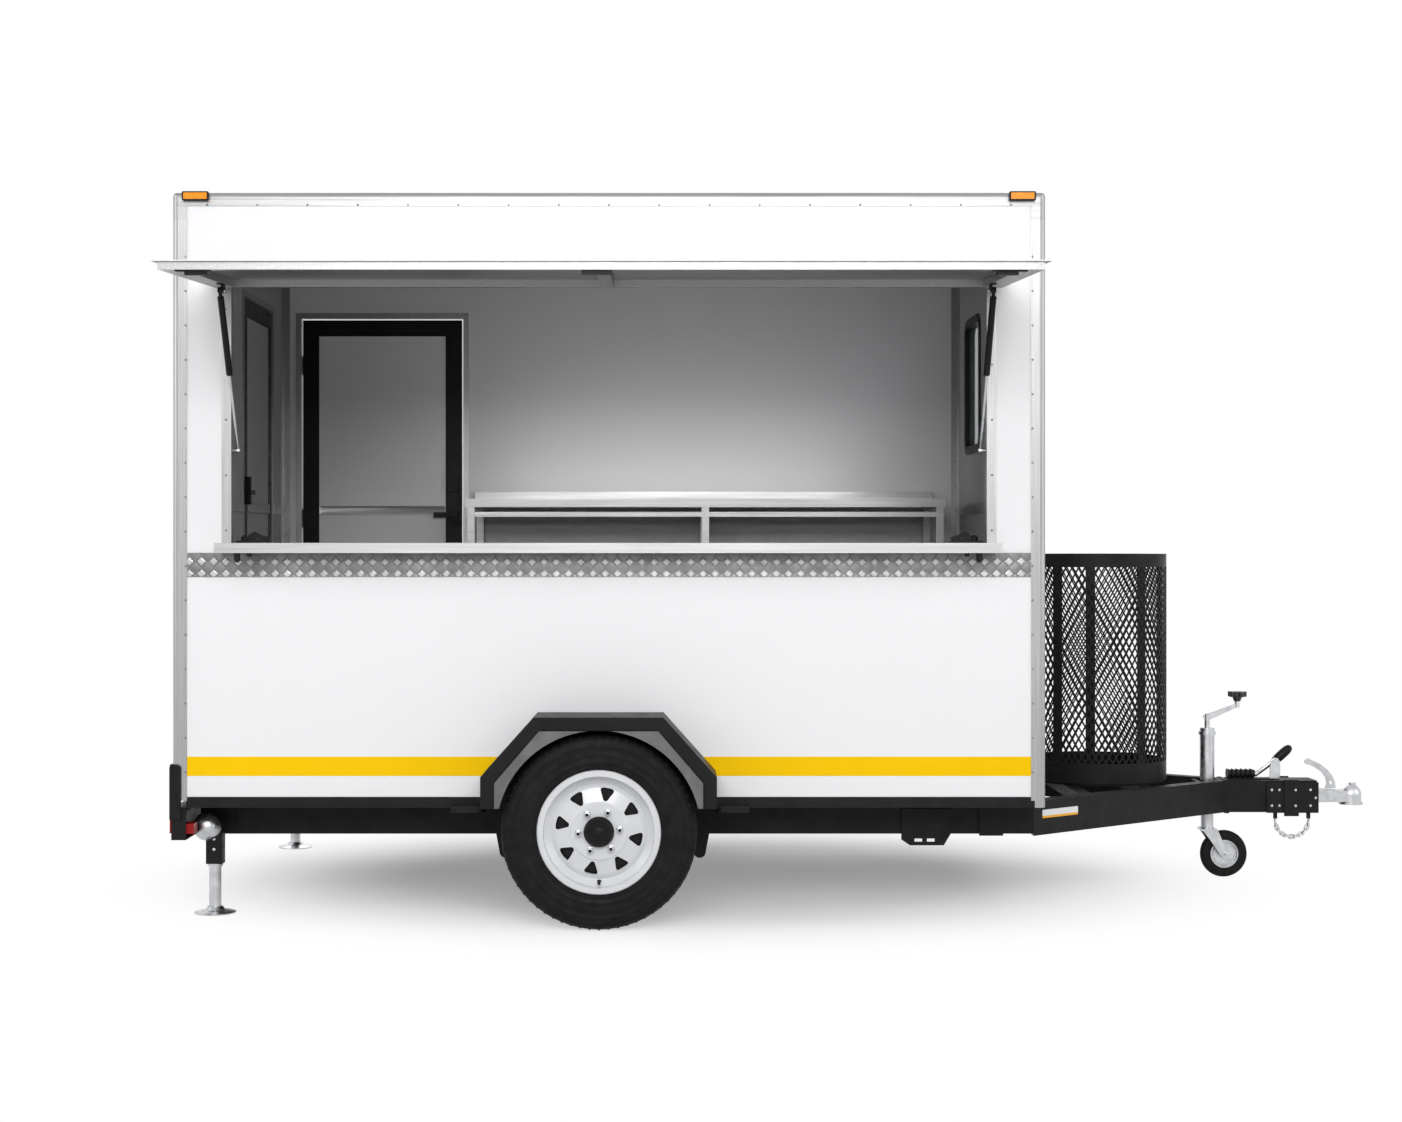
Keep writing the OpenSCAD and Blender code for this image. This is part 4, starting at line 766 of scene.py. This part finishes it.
lines = []
for side, turn in ((-1, (90, 0, 0)), (1, (-90, 0, 0))):
    for x in (BODY_LOW.x + POST_LINE, BODY_HIGH.x - POST_LINE):
        lines.append(((x, side * SIDE_Y, POST_FOOT), POST_ROW, turn))
    lines.append(((BODY_LOW.x + RAIL_START, side * SIDE_Y, RAIL_ROW_Z), SIDE_ROW, turn))
for x, turn in ((BODY_LOW.x, (0, -90, 0)), (BODY_HIGH.x, (0, 90, 0))):
    for y in (-SIDE_Y + POST_LINE, SIDE_Y - POST_LINE):
        lines.append(((x, y, POST_FOOT), POST_ROW, turn))
    lines.append(((x, -SIDE_Y + RAIL_START, RAIL_ROW_Z), END_ROW, turn))
for x in (TRIM_LOW.x + TRIM_LINE, TRIM_HIGH.x - TRIM_LINE):
    lines.append(((x, -SIDE_Y, TRIM_FOOT), TRIM_ROW, (90, 0, 0)))
riveted("panel_rivets", lines)

# %% [markdown]
# ## Tread plate
# The strip below the counter is rolled plate with raised squares standing on their corners: small ones in
# columns, and larger ones between them. The small ones get a lighter finish and the larger a darker one,
# which is painted light and shade. Each is a flat box whose outer face is inset and lifted. Arrays lay them
# out, and what passes the strip's edges is cut off.

# %% Tread plate squares
STRIP_LOW, STRIP_HIGH = box("tread_strip")
TREAD_PITCH = 0.042
TREAD_MARGIN = 0.0015
TREAD_ROWS = 3
SMALL_SQUARE, LARGE_SQUARE = (0.0205, 0.0012), (0.0285, 0.0006)


def tread_squares(square, begin, columns):
    """A field of raised squares in the strip's face, cut to the strip's edges."""
    side, rise = square
    tile = slab(side, 0.0012, side)
    inset(tile, lambda middle, normal: normal.y < -0.9, side * 0.16, rise)
    place(tile, turn=(0, 45, 0))
    rows_of(tile, ((TREAD_PITCH, 0, 0), columns), ((0, 0, TREAD_PITCH), TREAD_ROWS))
    place(tile, begin)
    edges = (2, STRIP_LOW.z, -1), (2, STRIP_HIGH.z, 1), (0, STRIP_LOW.x, -1), (0, STRIP_HIGH.x, 1)
    for axis, edge, outward in edges:
        spot, normal = [0, 0, 0], [0, 0, 0]
        spot[axis], normal[axis] = edge - outward * TREAD_MARGIN, outward
        edit(tile, action="SELECT")
        bpy.ops.mesh.bisect(plane_co=spot, plane_no=normal, clear_outer=True, use_fill=True)
        leave()
    return tile


columns = int((STRIP_HIGH.x - STRIP_LOW.x) / TREAD_PITCH) + 1
near_left = (STRIP_LOW.x + 0.008, STRIP_LOW.y - 0.0003, STRIP_LOW.z + 0.011)
between = (near_left[0] - TREAD_PITCH / 2, near_left[1], near_left[2] - TREAD_PITCH / 2)
# The lighter and darker finishes of the two fields are painted light and shade.
lit_squares = tread_squares(SMALL_SQUARE, near_left, columns)
complete(lit_squares, "tread_plate_lit", tread_lit, smooth=20)
shaded_squares = tread_squares(LARGE_SQUARE, between, columns + 1)
complete(shaded_squares, "tread_plate_shaded", tread_shaded, smooth=20)

# %% [markdown]
# ## Cage mesh
# The gas cage is wrapped in expanded mesh: a sheet slit and pulled until each slit opens into a diamond.
# Here it is made of thin upright strands, divided along their length, twisted about the cage's middle and
# copied round.

# %% Expanded mesh
MESH_LOW, MESH_HIGH = box("gas_cage_mesh")
MESH_MIDDLE = (MESH_LOW + MESH_HIGH) / 2
MESH_COUNT = 66
MESH_TURN = 88
STRAND_THICK, STRAND_WIDE, STRAND_CUTS = 0.0022, 0.0062, 18


def mesh_strand(turn):
    """One strand, as high as the cage, twisted about the cage's middle."""
    radius = (MESH_HIGH.x - MESH_LOW.x) / 2 - 0.0014
    strand = slab(STRAND_THICK, STRAND_WIDE, MESH_HIGH.z - MESH_LOW.z)
    edit(strand, "EDGE")
    pick(strand, lambda spot, along: abs(along.z) > 0.9)
    bpy.ops.mesh.subdivide(number_cuts=STRAND_CUTS)
    bpy.ops.mesh.select_all(action="SELECT")
    bpy.ops.transform.translate(value=(radius, 0, 0))
    leave()
    return modify(strand, "SIMPLE_DEFORM", deform_method="TWIST", deform_axis="Z", angle=radians(turn))


def cage_mesh():
    strands = []
    for turn in (-MESH_TURN, MESH_TURN):
        first = mesh_strand(turn)
        strands += [copy_of(first, MESH_MIDDLE, (0, 0, 360 / MESH_COUNT * i)) for i in range(MESH_COUNT)]
        bpy.data.objects.remove(first)
    return joined(strands)


complete(cage_mesh(), "expanded_mesh", black_steel, replaces=("gas_cage_mesh",))

# %% [markdown]
# ## Tyres
# A road tyre has a smooth flank with fine raised rings, a round shoulder and a grooved tread. All of it
# is turned in one go, and the shoulder blocks are a bevelled box copied round the wheel.

# %% Road tyres
WHEELS = {"right": (-1, (90, 0, 0)), "left": (1, (-90, 0, 0))}
TYRE_LOW, TYRE_HIGH = box("tyre_right")
TYRE_R = (TYRE_HIGH.z - TYRE_LOW.z) / 2
TYRE_HALF = (TYRE_HIGH.y - TYRE_LOW.y) / 2
WHEEL_Z = (TYRE_HIGH.z + TYRE_LOW.z) / 2
WHEEL_Y = -(TYRE_HIGH.y + TYRE_LOW.y) / 2
RIM_R = (box("wheel_rim_right")[1].z - box("wheel_rim_right")[0].z) / 2
SHOULDERS = 64
FLANK_RINGS = (0.012, 0.0022), (0.028, 0.0014), (0.052, 0.0009), (0.078, 0.0018)
RING_WIDTH = 0.0025
GROOVES, GROOVE_DEEP = (0.052, 0.02), 0.008


def flank(radius):
    """Half-width of the tyre at a radius on its side wall."""
    part = (radius - RIM_R) / (TYRE_R - 0.03 - RIM_R)
    return TYRE_HALF - 0.008 + 0.0075 * sin(pi * min(max(part, 0), 1) ** 0.8)


def tyre_outline():
    """Bead, flank with its raised rings, shoulder and grooves, then the same for the other half."""
    inner, floor_r = RIM_R - 0.016, TYRE_R - GROOVE_DEEP
    half = [(inner, TYRE_HALF - 0.036), (inner, TYRE_HALF - 0.015), (RIM_R + 0.001, TYRE_HALF - 0.015),
            (RIM_R + 0.003, TYRE_HALF - 0.009)]
    for out, rise in FLANK_RINGS:
        at = RIM_R + out
        for step, lift in ((-RING_WIDTH, 0), (0, rise), (RING_WIDTH, 0)):
            half.append((at + step, flank(at + step) + lift))
    for turn in range(0, 91, 15):
        half.append((TYRE_R - 0.034 + 0.031 * sin(radians(turn)), 0.062 + 0.034 * cos(radians(turn))))
    for groove in GROOVES:
        half += [(TYRE_R, groove + 0.004), (floor_r, groove + 0.003), (floor_r, groove - 0.003),
                 (TYRE_R, groove - 0.004)]
    other = [(radius, -height) for radius, height in reversed(half)]
    return half + other + [half[0]]


def shoulder_block():
    block = slab(0.022, 0.0105, 0.03)
    edit(block)
    pick(block, lambda middle, normal: normal.x > 0.9)
    bpy.ops.transform.resize(value=(1, 0.86, 0.8))
    leave()
    soften(block, 0.0012, 1)
    return place(block, (TYRE_R - 0.015, 0, 0.0765), (0, -24, 0))


def road_tyre():
    carcass = turned(tyre_outline(), around=96)
    block = shoulder_block()
    blocks = []
    for side in (0, 180):
        tilt = copy_of(block, turn=(side, 0, 0))
        half_step = 180 / SHOULDERS if side else 0
        for i in range(SHOULDERS):
            blocks.append(copy_of(tilt, turn=(0, 0, 360 / SHOULDERS * i + half_step)))
        bpy.data.objects.remove(tilt)
    bpy.data.objects.remove(block)
    return joined([carcass] + blocks)


tyre_shape = road_tyre()
for name, (side, turn) in WHEELS.items():
    tyre = copy_of(tyre_shape, (0, side * WHEEL_Y, WHEEL_Z), turn)
    complete(tyre, "road_tyre_" + name, rubber, body="wheel_" + name,
             replaces=("tyre_" + name,))
bpy.data.objects.remove(tyre_shape)

# %% [markdown]
# ## Wheel fittings
# Six round nuts hold each wheel, each in a bright seat with a dark stud in its middle. The valve stands
# at the rim's lowest point, the black cap over the hub has raised rings, and a dark drum fills the space
# behind the disc.

# %% Nuts and studs
STUDS, STUD_CIRCLE, FIRST_STUD = 6, 0.1397, 5
DISC_FACE = 0.066
NUT = [(0.0005, 0.0), (0.012, 0.0), (0.0125, 0.0015), (0.0115, 0.004), (0.01, 0.0045),
       (0.0098, 0.015), (0.0088, 0.0185), (0.0062, 0.019), (0.0058, 0.012), (0.0005, 0.012)]
STUD = [(0.0005, 0.0), (0.0056, 0.0), (0.0056, 0.0135), (0.0045, 0.015), (0.0005, 0.015)]


def round_the_hub(outline, around, height):
    """One turned shape on each of the wheel's studs."""
    shape = turned(outline, around)
    copies = []
    for i in range(STUDS):
        angle = radians(FIRST_STUD + 360 / STUDS * i)
        copies.append(copy_of(shape, (STUD_CIRCLE / 2 * cos(angle), STUD_CIRCLE / 2 * sin(angle), height)))
    bpy.data.objects.remove(shape)
    return joined(copies)


print("nuts and studs:", STUDS, "on each wheel")

# %% [markdown]
# Valve, cap and drum are turned shapes too. Each is made about the wheel's own axle, and all of them are
# then carried to both wheels together with the nuts and studs.

# %% Valve, cap and drum
VALVE_SPOT = (0, -0.172, DISC_FACE - 0.02)
VALVE = [(0.0005, 0.0), (0.0085, 0.0), (0.0085, 0.003), (0.0048, 0.006), (0.0042, 0.02),
         (0.0052, 0.021), (0.0052, 0.029), (0.0035, 0.031), (0.0005, 0.031)]
CAP = [(0.0005, 0.0935), (0.013, 0.0935), (0.0165, 0.0915), (0.0175, 0.0865), (0.026, 0.0865),
       (0.0275, 0.0905), (0.033, 0.0905), (0.0345, 0.088), (0.04, 0.088), (0.041, 0.0905),
       (0.0455, 0.0905), (0.0475, 0.087), (0.0475, 0.08), (0.0005, 0.08)]
DRUM = [(0.0428, 0.002), (0.144, 0.002), (0.148, 0.006), (0.148, 0.028), (0.142, 0.034),
        (0.0428, 0.034), (0.0428, 0.002)]


def wheel_fittings():
    """A wheel's small parts. The drum closes the view through the disc's eight openings."""
    return (("wheel_nuts_", round_the_hub(NUT, 20, DISC_FACE - 0.0005), nut_metal, "zinc_steel"),
            ("stud_ends_", round_the_hub(STUD, 12, DISC_FACE), black_steel, "black_steel"),
            ("tyre_valve_", place(turned(VALVE, 14), VALVE_SPOT), black_plastic, "black_plastic"),
            ("cap_dome_", turned(CAP, 40), black_plastic, "black_plastic"),
            ("brake_drum_", turned(DRUM, 40), black_steel, "black_steel"))


for name, (side, turn) in WHEELS.items():
    spot = (0, side * WHEEL_Y, WHEEL_Z)
    for label, shape, finish, slot in wheel_fittings():
        complete(place(shape, spot, turn), label + name, finish, body="wheel_" + name)

# %% [markdown]
# ## Jockey wheel axle
# A bolt with a broad washer and a raised ring on the hub show on both sides of the jockey wheel.

# %% Jockey wheel axle
JOCKEY_AXLE = sum(box("jockey_hub"), Vector()) / 2
FORK_FACE, WEB_FACE = 0.0396, 0.0078
BOLT = [(0.0005, 0.0), (0.013, 0.0), (0.013, 0.0022), (0.009, 0.0026), (0.0085, 0.0075),
        (0.0065, 0.009), (0.0005, 0.009)]
HUB_RING = [(0.04, 0.0), (0.041, 0.0016), (0.044, 0.002), (0.0455, 0.0), (0.04, 0.0)]


def both_sides(outline, around, face):
    """One turned shape on the left and one on the right of the jockey wheel."""
    return joined([place(turned(outline, around), (JOCKEY_AXLE.x, side * face, JOCKEY_AXLE.z),
                         (-90 * side, 0, 0)) for side in (-1, 1)])


complete(both_sides(BOLT, 20, FORK_FACE), "jockey_bolts", nut_metal, body="jockey_fork",
         smooth=30)
complete(both_sides(HUB_RING, 36, WEB_FACE), "jockey_rings", nut_metal, body="jockey_wheel")

# %% [markdown]
# ## Mudguard edges
# The mudguard's outer edge is rolled over into a thick round lip. It is a flat outline between two paths
# of six points each, given a thickness and a generous rounding.

# %% Mudguard edges
GUARD_LOW, GUARD_HIGH = box("fenders")
GUARD_FLAT, GUARD_KNEE = 0.216, 0.517
LIP_WIDE, LIP_THICK, LIP_ROUND = 0.046, 0.02, 0.0085


def half_angle_tangent(rise, run):
    """Tangent of half the angle whose sine and cosine are given."""
    return rise / (1 + run)


def guard_path(inward):
    """The mudguard's outline from foot to foot, moved in by a distance."""
    half, foot, top = GUARD_HIGH.x, GUARD_LOW.z, GUARD_HIGH.z
    slope = Vector((half - GUARD_FLAT, top - GUARD_KNEE)).normalized()
    low_shift = inward * half_angle_tangent(slope.y, slope.x)
    high_shift = inward * half_angle_tangent(slope.x, slope.y)
    right = [(half - inward, foot), (half - inward, GUARD_KNEE - low_shift),
             (GUARD_FLAT - high_shift, top - inward)]
    return [(-x, z) for x, z in right] + [(x, z) for x, z in reversed(right)]


def on_both_walls(loop, thick, rounding, out):
    """The same upright plate on the near and on the far side of the trailer."""
    return joined([place(plate([loop], thick, rounding), (0, side * out, 0), (90, 0, 0))
                   for side in (-1, 1)])


lip_loop = guard_path(0.0) + list(reversed(guard_path(LIP_WIDE)))
lips = on_both_walls(lip_loop, LIP_THICK, LIP_ROUND, GUARD_HIGH.y - 0.0101)
complete(lips, "mudguard_lips", guard_plastic)

# %% [markdown]
# ## Arch linings of painted shade
# Inside each mudguard a thin black sheet covers the wall, so that neither white panel nor stripe shows
# behind the wheel: painted shade for the dark space under the mudguard. It follows the mudguard's own
# outline.

# %% Arch linings
# A black sheet that is painted shade under the mudguard.
shade_linings = on_both_walls(guard_path(0.006), 0.0016, 0.0004, SIDE_Y - 0.0006)
complete(shade_linings, "arch_shade_linings", black_steel, smooth=25)

# %% [markdown]
# ## Bolts
# Hexagon heads on washers hold the plates at the drawbar's end and the leg brackets. One bolt is made and
# copied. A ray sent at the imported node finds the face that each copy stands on.

# %% Bolts
def face_of(node, origin, direction):
    """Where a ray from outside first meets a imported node."""
    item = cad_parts[node]
    back = item.matrix_world.inverted()
    answer = item.ray_cast(back @ Vector(origin), back.to_3x3() @ Vector(direction))
    return item.matrix_world @ answer[1]


def hexagon_bolt(radius, height):
    head = start("cylinder", vertices=6, radius=radius, depth=height, location=(0, 0, height * 0.7))
    inset(head, lambda middle, normal: normal.z > 0.9, radius * 0.16, height * 0.14)
    washer = start("cylinder", vertices=20, radius=radius * 1.4, depth=height * 0.4, location=(0, 0, 0))
    soften(washer, height * 0.08, 1)
    return joined([head, washer])


def bolts_on(node, spots, radius, sides=(-1, 1)):
    """Bolts at (x, z) on the outer faces of a node, seen from each side."""
    shape = hexagon_bolt(radius, radius * 0.8)
    bolts = []
    for side in sides:
        for x, z in spots:
            spot = face_of(node, (x, side * 3, z), (0, -side, 0))
            bolts.append(copy_of(shape, spot, (-90 * side, 0, 0)))
    bpy.data.objects.remove(shape)
    return joined(bolts)


print("bolt helpers ready")

# %% [markdown]
# Four pairs of bolts and one more at the tip hold the plates at the drawbar's end, and two hold each
# leg's bracket.

# %% Drawbar and leg bolts
BAR_LOW, BAR_HIGH = box("drawbar")
BOLT_COLUMNS, BOLT_HEIGHTS, TIP_BOLT = (0.181, 0.152, 0.091, 0.032), (0.345, 0.284), (0.012, 0.314)
end_plate = [(BAR_HIGH.x - back, z) for back in BOLT_COLUMNS for z in BOLT_HEIGHTS]
end_plate.append((BAR_HIGH.x - TIP_BOLT[0], TIP_BOLT[1]))
complete(bolts_on("drawbar", end_plate, 0.0052), "drawbar_bolts", nut_metal, smooth=25)
HUB_LOW, HUB_HIGH = box("jack_hub_right")
hub_x = (HUB_LOW.x + HUB_HIGH.x) / 2 + 0.014
hub_bolts = [(hub_x, HUB_LOW.z + 0.088), (hub_x, HUB_LOW.z + 0.052)]
for name, side in (("right", -1), ("left", 1)):
    complete(bolts_on("jack_hub_" + name, hub_bolts, 0.0058, (side,)), "leg_bolts_" + name, nut_metal,
             body="jack_" + name, smooth=25)

# %% [markdown]
# ## Lamp housings
# Each marker lamp's amber lens sits in a black bezel: a rounded plate with a window, thicker than the
# lens is deep.

# %% Marker lamp housings
LAMP_LOW, LAMP_HIGH = box("marker_lamps")
LAMP_LONG = 0.09


def rectangle(half_x, half_z, corner=0.0):
    """Corners of a rectangle, each cut off by a short slope."""
    spots = []
    for x, z in ((1, 1), (-1, 1), (-1, -1), (1, -1)):
        first, second = (half_x * x, (half_z - corner) * z), ((half_x - corner) * x, half_z * z)
        spots += [first, second] if x * z > 0 else [second, first]
    return spots


def bezel(half_x, half_z, rim, thick):
    outer = rectangle(half_x, half_z, 0.003)
    inner = rectangle(half_x - rim, half_z - rim, 0.002)
    return plate([outer, list(reversed(inner))], thick, 0.0012)


housings = []
lamp_z = (LAMP_LOW.z + LAMP_HIGH.z) / 2
for side in (-1, 1):
    for x in (LAMP_LOW.x + LAMP_LONG / 2, LAMP_HIGH.x - LAMP_LONG / 2):
        frame_ring = bezel(LAMP_LONG / 2 + 0.0005, 0.0155, 0.0048, 0.0215)
        housings.append(place(frame_ring, (x, side * (LAMP_HIGH.y - 0.0106), lamp_z), (90, 0, 0)))
complete(joined(housings), "marker_housings", black_plastic, smooth=25)

# %% [markdown]
# ## Handbrake lever
# Between its rubber gaiter and its grip the lever is a plated rod, and a plated guard stands beside the
# grip.

# %% Handbrake parts
BRAKE = box("handbrake")[0]
LEVER_TURN, GRIP_TURN = 54, 48
ROD = [(0.0005, 0.0), (0.0098, 0.0), (0.0098, 0.01), (0.0079, 0.014), (0.0079, 0.092),
       (0.0095, 0.096), (0.0095, 0.104), (0.0005, 0.104)]
LEVER_PLATE = [(0, 0), (0.04, 0), (0.043, 0.04), (0.04, 0.068), (0.032, 0.08), (0.018, 0.082),
               (0.008, 0.072), (0.003, 0.05)]
GRIP = [(0.0005, -0.002), (0.0115, -0.002), (0.0155, 0.006), (0.0182, 0.028), (0.0182, 0.058),
        (0.0168, 0.072), (0.0125, 0.083), (0.006, 0.0885), (0.0005, 0.089)]
rod = place(turned(ROD, 20), (BRAKE.x + 0.114, 0, BRAKE.z + 0.018), (0, LEVER_TURN, 0))
guard = plate([LEVER_PLATE], 0.0076, 0.0012)
place(guard, (BRAKE.x + 0.164, -0.021, BRAKE.z + 0.003), (90, 0, 0))
complete(joined([rod, guard]), "handbrake_lever", zinc_steel)
grip = place(turned(GRIP, 24), (BRAKE.x + 0.188, 0, BRAKE.z + 0.068), (0, GRIP_TURN, 0))
complete(grip, "handbrake_grip", black_plastic, smooth=50)

# %% [markdown]
# ## Safety chain
# A chain link is a ring pulled long: one half of a torus is moved away from the other. Every second link
# is turned a quarter round, and all hang on one arc below the drawbar.

# %% Chain
CHAIN_MIDDLE = sum(box("safety_chain"), Vector()) / 2
LINKS, LINK_STRETCH = 11, 0.0068
ARC_R, ARC_BEGIN, ARC_SWEEP = 0.064, 190, 160


def chain_link():
    link = start("torus", major_radius=0.0062, minor_radius=0.0033, major_segments=18, minor_segments=8)
    for way in (-1, 1):
        edit(link, "VERT")
        pick(link, lambda spot, normal: spot.x * way > 0.0001)
        bpy.ops.transform.translate(value=(way * LINK_STRETCH, 0, 0))
        leave()
    return link


def chain():
    shape = chain_link()
    links = []
    for i in range(LINKS):
        angle = ARC_BEGIN + ARC_SWEEP / (LINKS - 1) * i
        x = CHAIN_MIDDLE.x + ARC_R * cos(radians(angle))
        z = BAR_LOW.z - 0.006 + ARC_R * sin(radians(angle))
        links.append(copy_of(shape, (x, CHAIN_MIDDLE.y, z), (i % 2 * 90, 90 - angle, 0)))
    bpy.data.objects.remove(shape)
    return joined(links)


complete(chain(), "chain_links", zinc_steel, replaces=("safety_chain",), smooth=60)

# %% [markdown]
# ## Reflector
# A white reflector with an amber lower edge is stuck on each sloping beam of the drawbar, just ahead of
# the body.

# %% Beam reflectors
REFLECTOR_LONG, REFLECTOR_HIGH = 0.19, 0.03
REFLECTOR_Z = BAR_LOW.z + 0.1
NEAR_X, FAR_X = BAR_LOW.x + 0.06, BAR_LOW.x + 0.16


def reflector_finish():
    foil = Finish("reflector_foil", roughness=0.3)
    lower = foil.maths("LESS_THAN", foil.axes()["Z"], REFLECTOR_Z - REFLECTOR_HIGH * 0.22)
    foil.feed(foil.blend(lower, (0.85, 0.85, 0.86), (0.95, 0.45, 0.01)), "Base Color")
    cells = foil.node("ShaderNodeTexVoronoi", {"Vector": foil.coordinates, "Scale": 260.0})
    foil.bump(cells.outputs["Distance"], 0.0004, 0.4)
    return foil


def beam_reflector(side):
    """A strip laid on the beam between two points of its outer face, which give its heading."""
    near, far = [face_of("drawbar", (x, side * 3, REFLECTOR_Z), (0, -side, 0)) for x in (NEAR_X, FAR_X)]
    heading = degrees(atan2(far.y - near.y, far.x - near.x))
    strip = plate([rectangle(REFLECTOR_LONG / 2, REFLECTOR_HIGH / 2, 0.002)], 0.0022, 0.0006)
    place(strip, turn=(90, 0, 0))
    return place(strip, (near + far) / 2 + Vector((0, side * 0.0008, 0)), (0, 0, heading))


reflectors = joined([beam_reflector(side) for side in (-1, 1)])
complete(reflectors, "beam_reflectors", reflector_finish(), smooth=25)

# %% [markdown]
# ## Door rails
# A push rail crosses each door inside, level with the rub rails on the walls. It is a flat bar whose face
# is inset and pressed in, which leaves a raised bead all round, with a screw near each end.

# %% Door rails
RAIL_Z = (box("rub_rails")[0].z + box("rub_rails")[1].z) / 2
RAIL_DEEP, RAIL_HALF, RAIL_SHORT = 0.0085, 0.019, 0.006


def push_rail(length):
    """A rail along X with its face towards -Y."""
    bar = place(slab(length, RAIL_DEEP, RAIL_HALF * 2), (0, -RAIL_DEEP / 2, 0))
    edit(bar)
    pick(bar, lambda middle, normal: normal.y < -0.9)
    bpy.ops.mesh.inset(thickness=0.006, depth=0)
    bpy.ops.transform.translate(value=(0, 0.003, 0))
    leave()
    soften(bar, 0.0012, 2)
    screws = []
    for x in (-length / 2 + 0.02, length / 2 - 0.02):
        screw = hexagon_bolt(0.0036, 0.003)
        screws.append(place(screw, (x, -RAIL_DEEP + 0.0025, 0), (90, 0, 0)))
    return joined([bar] + screws)


def door_rail(door, width, spot, turn):
    rail = place(push_rail(width - RAIL_SHORT), spot, turn)
    complete(rail, door + "_rail", inner_metal, body=door, smooth=30)


low, high = box("side_door_panel")
door_rail("side_door", high.x - low.x, ((low.x + high.x) / 2, low.y, RAIL_Z), (0, 0, 0))
low, high = box("rear_door_panel")
door_rail("rear_door", high.y - low.y, (high.x, (low.y + high.y) / 2, RAIL_Z), (0, 0, 90))

# %% [markdown]
# ## Cabin rivets
# Inside, the flanges of posts and rails are riveted too. The rows run down the far posts and along the
# far rails.

# %% Cabin rivets
FAR_FACE_Y = box("far_wall")[0].y - 0.0032
CABIN_POST_LINE, CABIN_FOOT, CABIN_RAIL_START = 0.05, 0.6, 0.15
CABIN_POST_ROW = (0, 0, 0.105), 17
CABIN_RAIL_ROW = (0.165, 0, 0), 17
inward = (90, 0, 0)
lines = []
for x in (BODY_LOW.x + CABIN_POST_LINE, BODY_HIGH.x - CABIN_POST_LINE):
    lines.append(((x, FAR_FACE_Y, CABIN_FOOT), CABIN_POST_ROW, inward))
cabin_rail_z = box("roof")[0].z - 0.012
lines.append(((BODY_LOW.x + CABIN_RAIL_START, FAR_FACE_Y, cabin_rail_z), CABIN_RAIL_ROW, inward))
riveted("cabin_rivets", lines)

# %% [markdown]
# ## Hatch edge screws
# The hatch's front member is screwed through its face about every half metre. The screws follow the hatch
# as it closes.

# %% Hatch screws
HATCH_LOW, HATCH_HIGH = box("hatch_skin")
SCREWS, SCREW_INSET = 6, 0.09
heads = []
for i in range(SCREWS):
    x = HATCH_LOW.x + SCREW_INSET + i * (HATCH_HIGH.x - HATCH_LOW.x - 2 * SCREW_INSET) / (SCREWS - 1)
    spot = face_of("hatch_skin", (x, HATCH_LOW.y - 1, HATCH_LOW.z + 0.012), (0, 1, 0))
    heads.append(place(hexagon_bolt(0.0042, 0.0022), spot, (90, 0, 0)))
complete(joined(heads), "hatch_screws", rivet_metal, body="hatch", smooth=30)

# %% [markdown]
# ## Strut ends
# Each gas strut ends in a ball cup clipped on a stud. A small nut and washer show on the hatch side.

# %% Strut nuts
for name, side in (("rear", -1), ("front", 1)):
    low, high = box("strut_cylinder_" + name)
    edge = low.x if side > 0 else high.x
    spot = (edge - side * 0.004, low.y + 0.011, high.z - 0.012)
    nut = place(hexagon_bolt(0.008, 0.006), spot, (0, -90 * side, 0))
    complete(nut, "strut_nut_" + name, nut_metal, body="hatch", smooth=30)
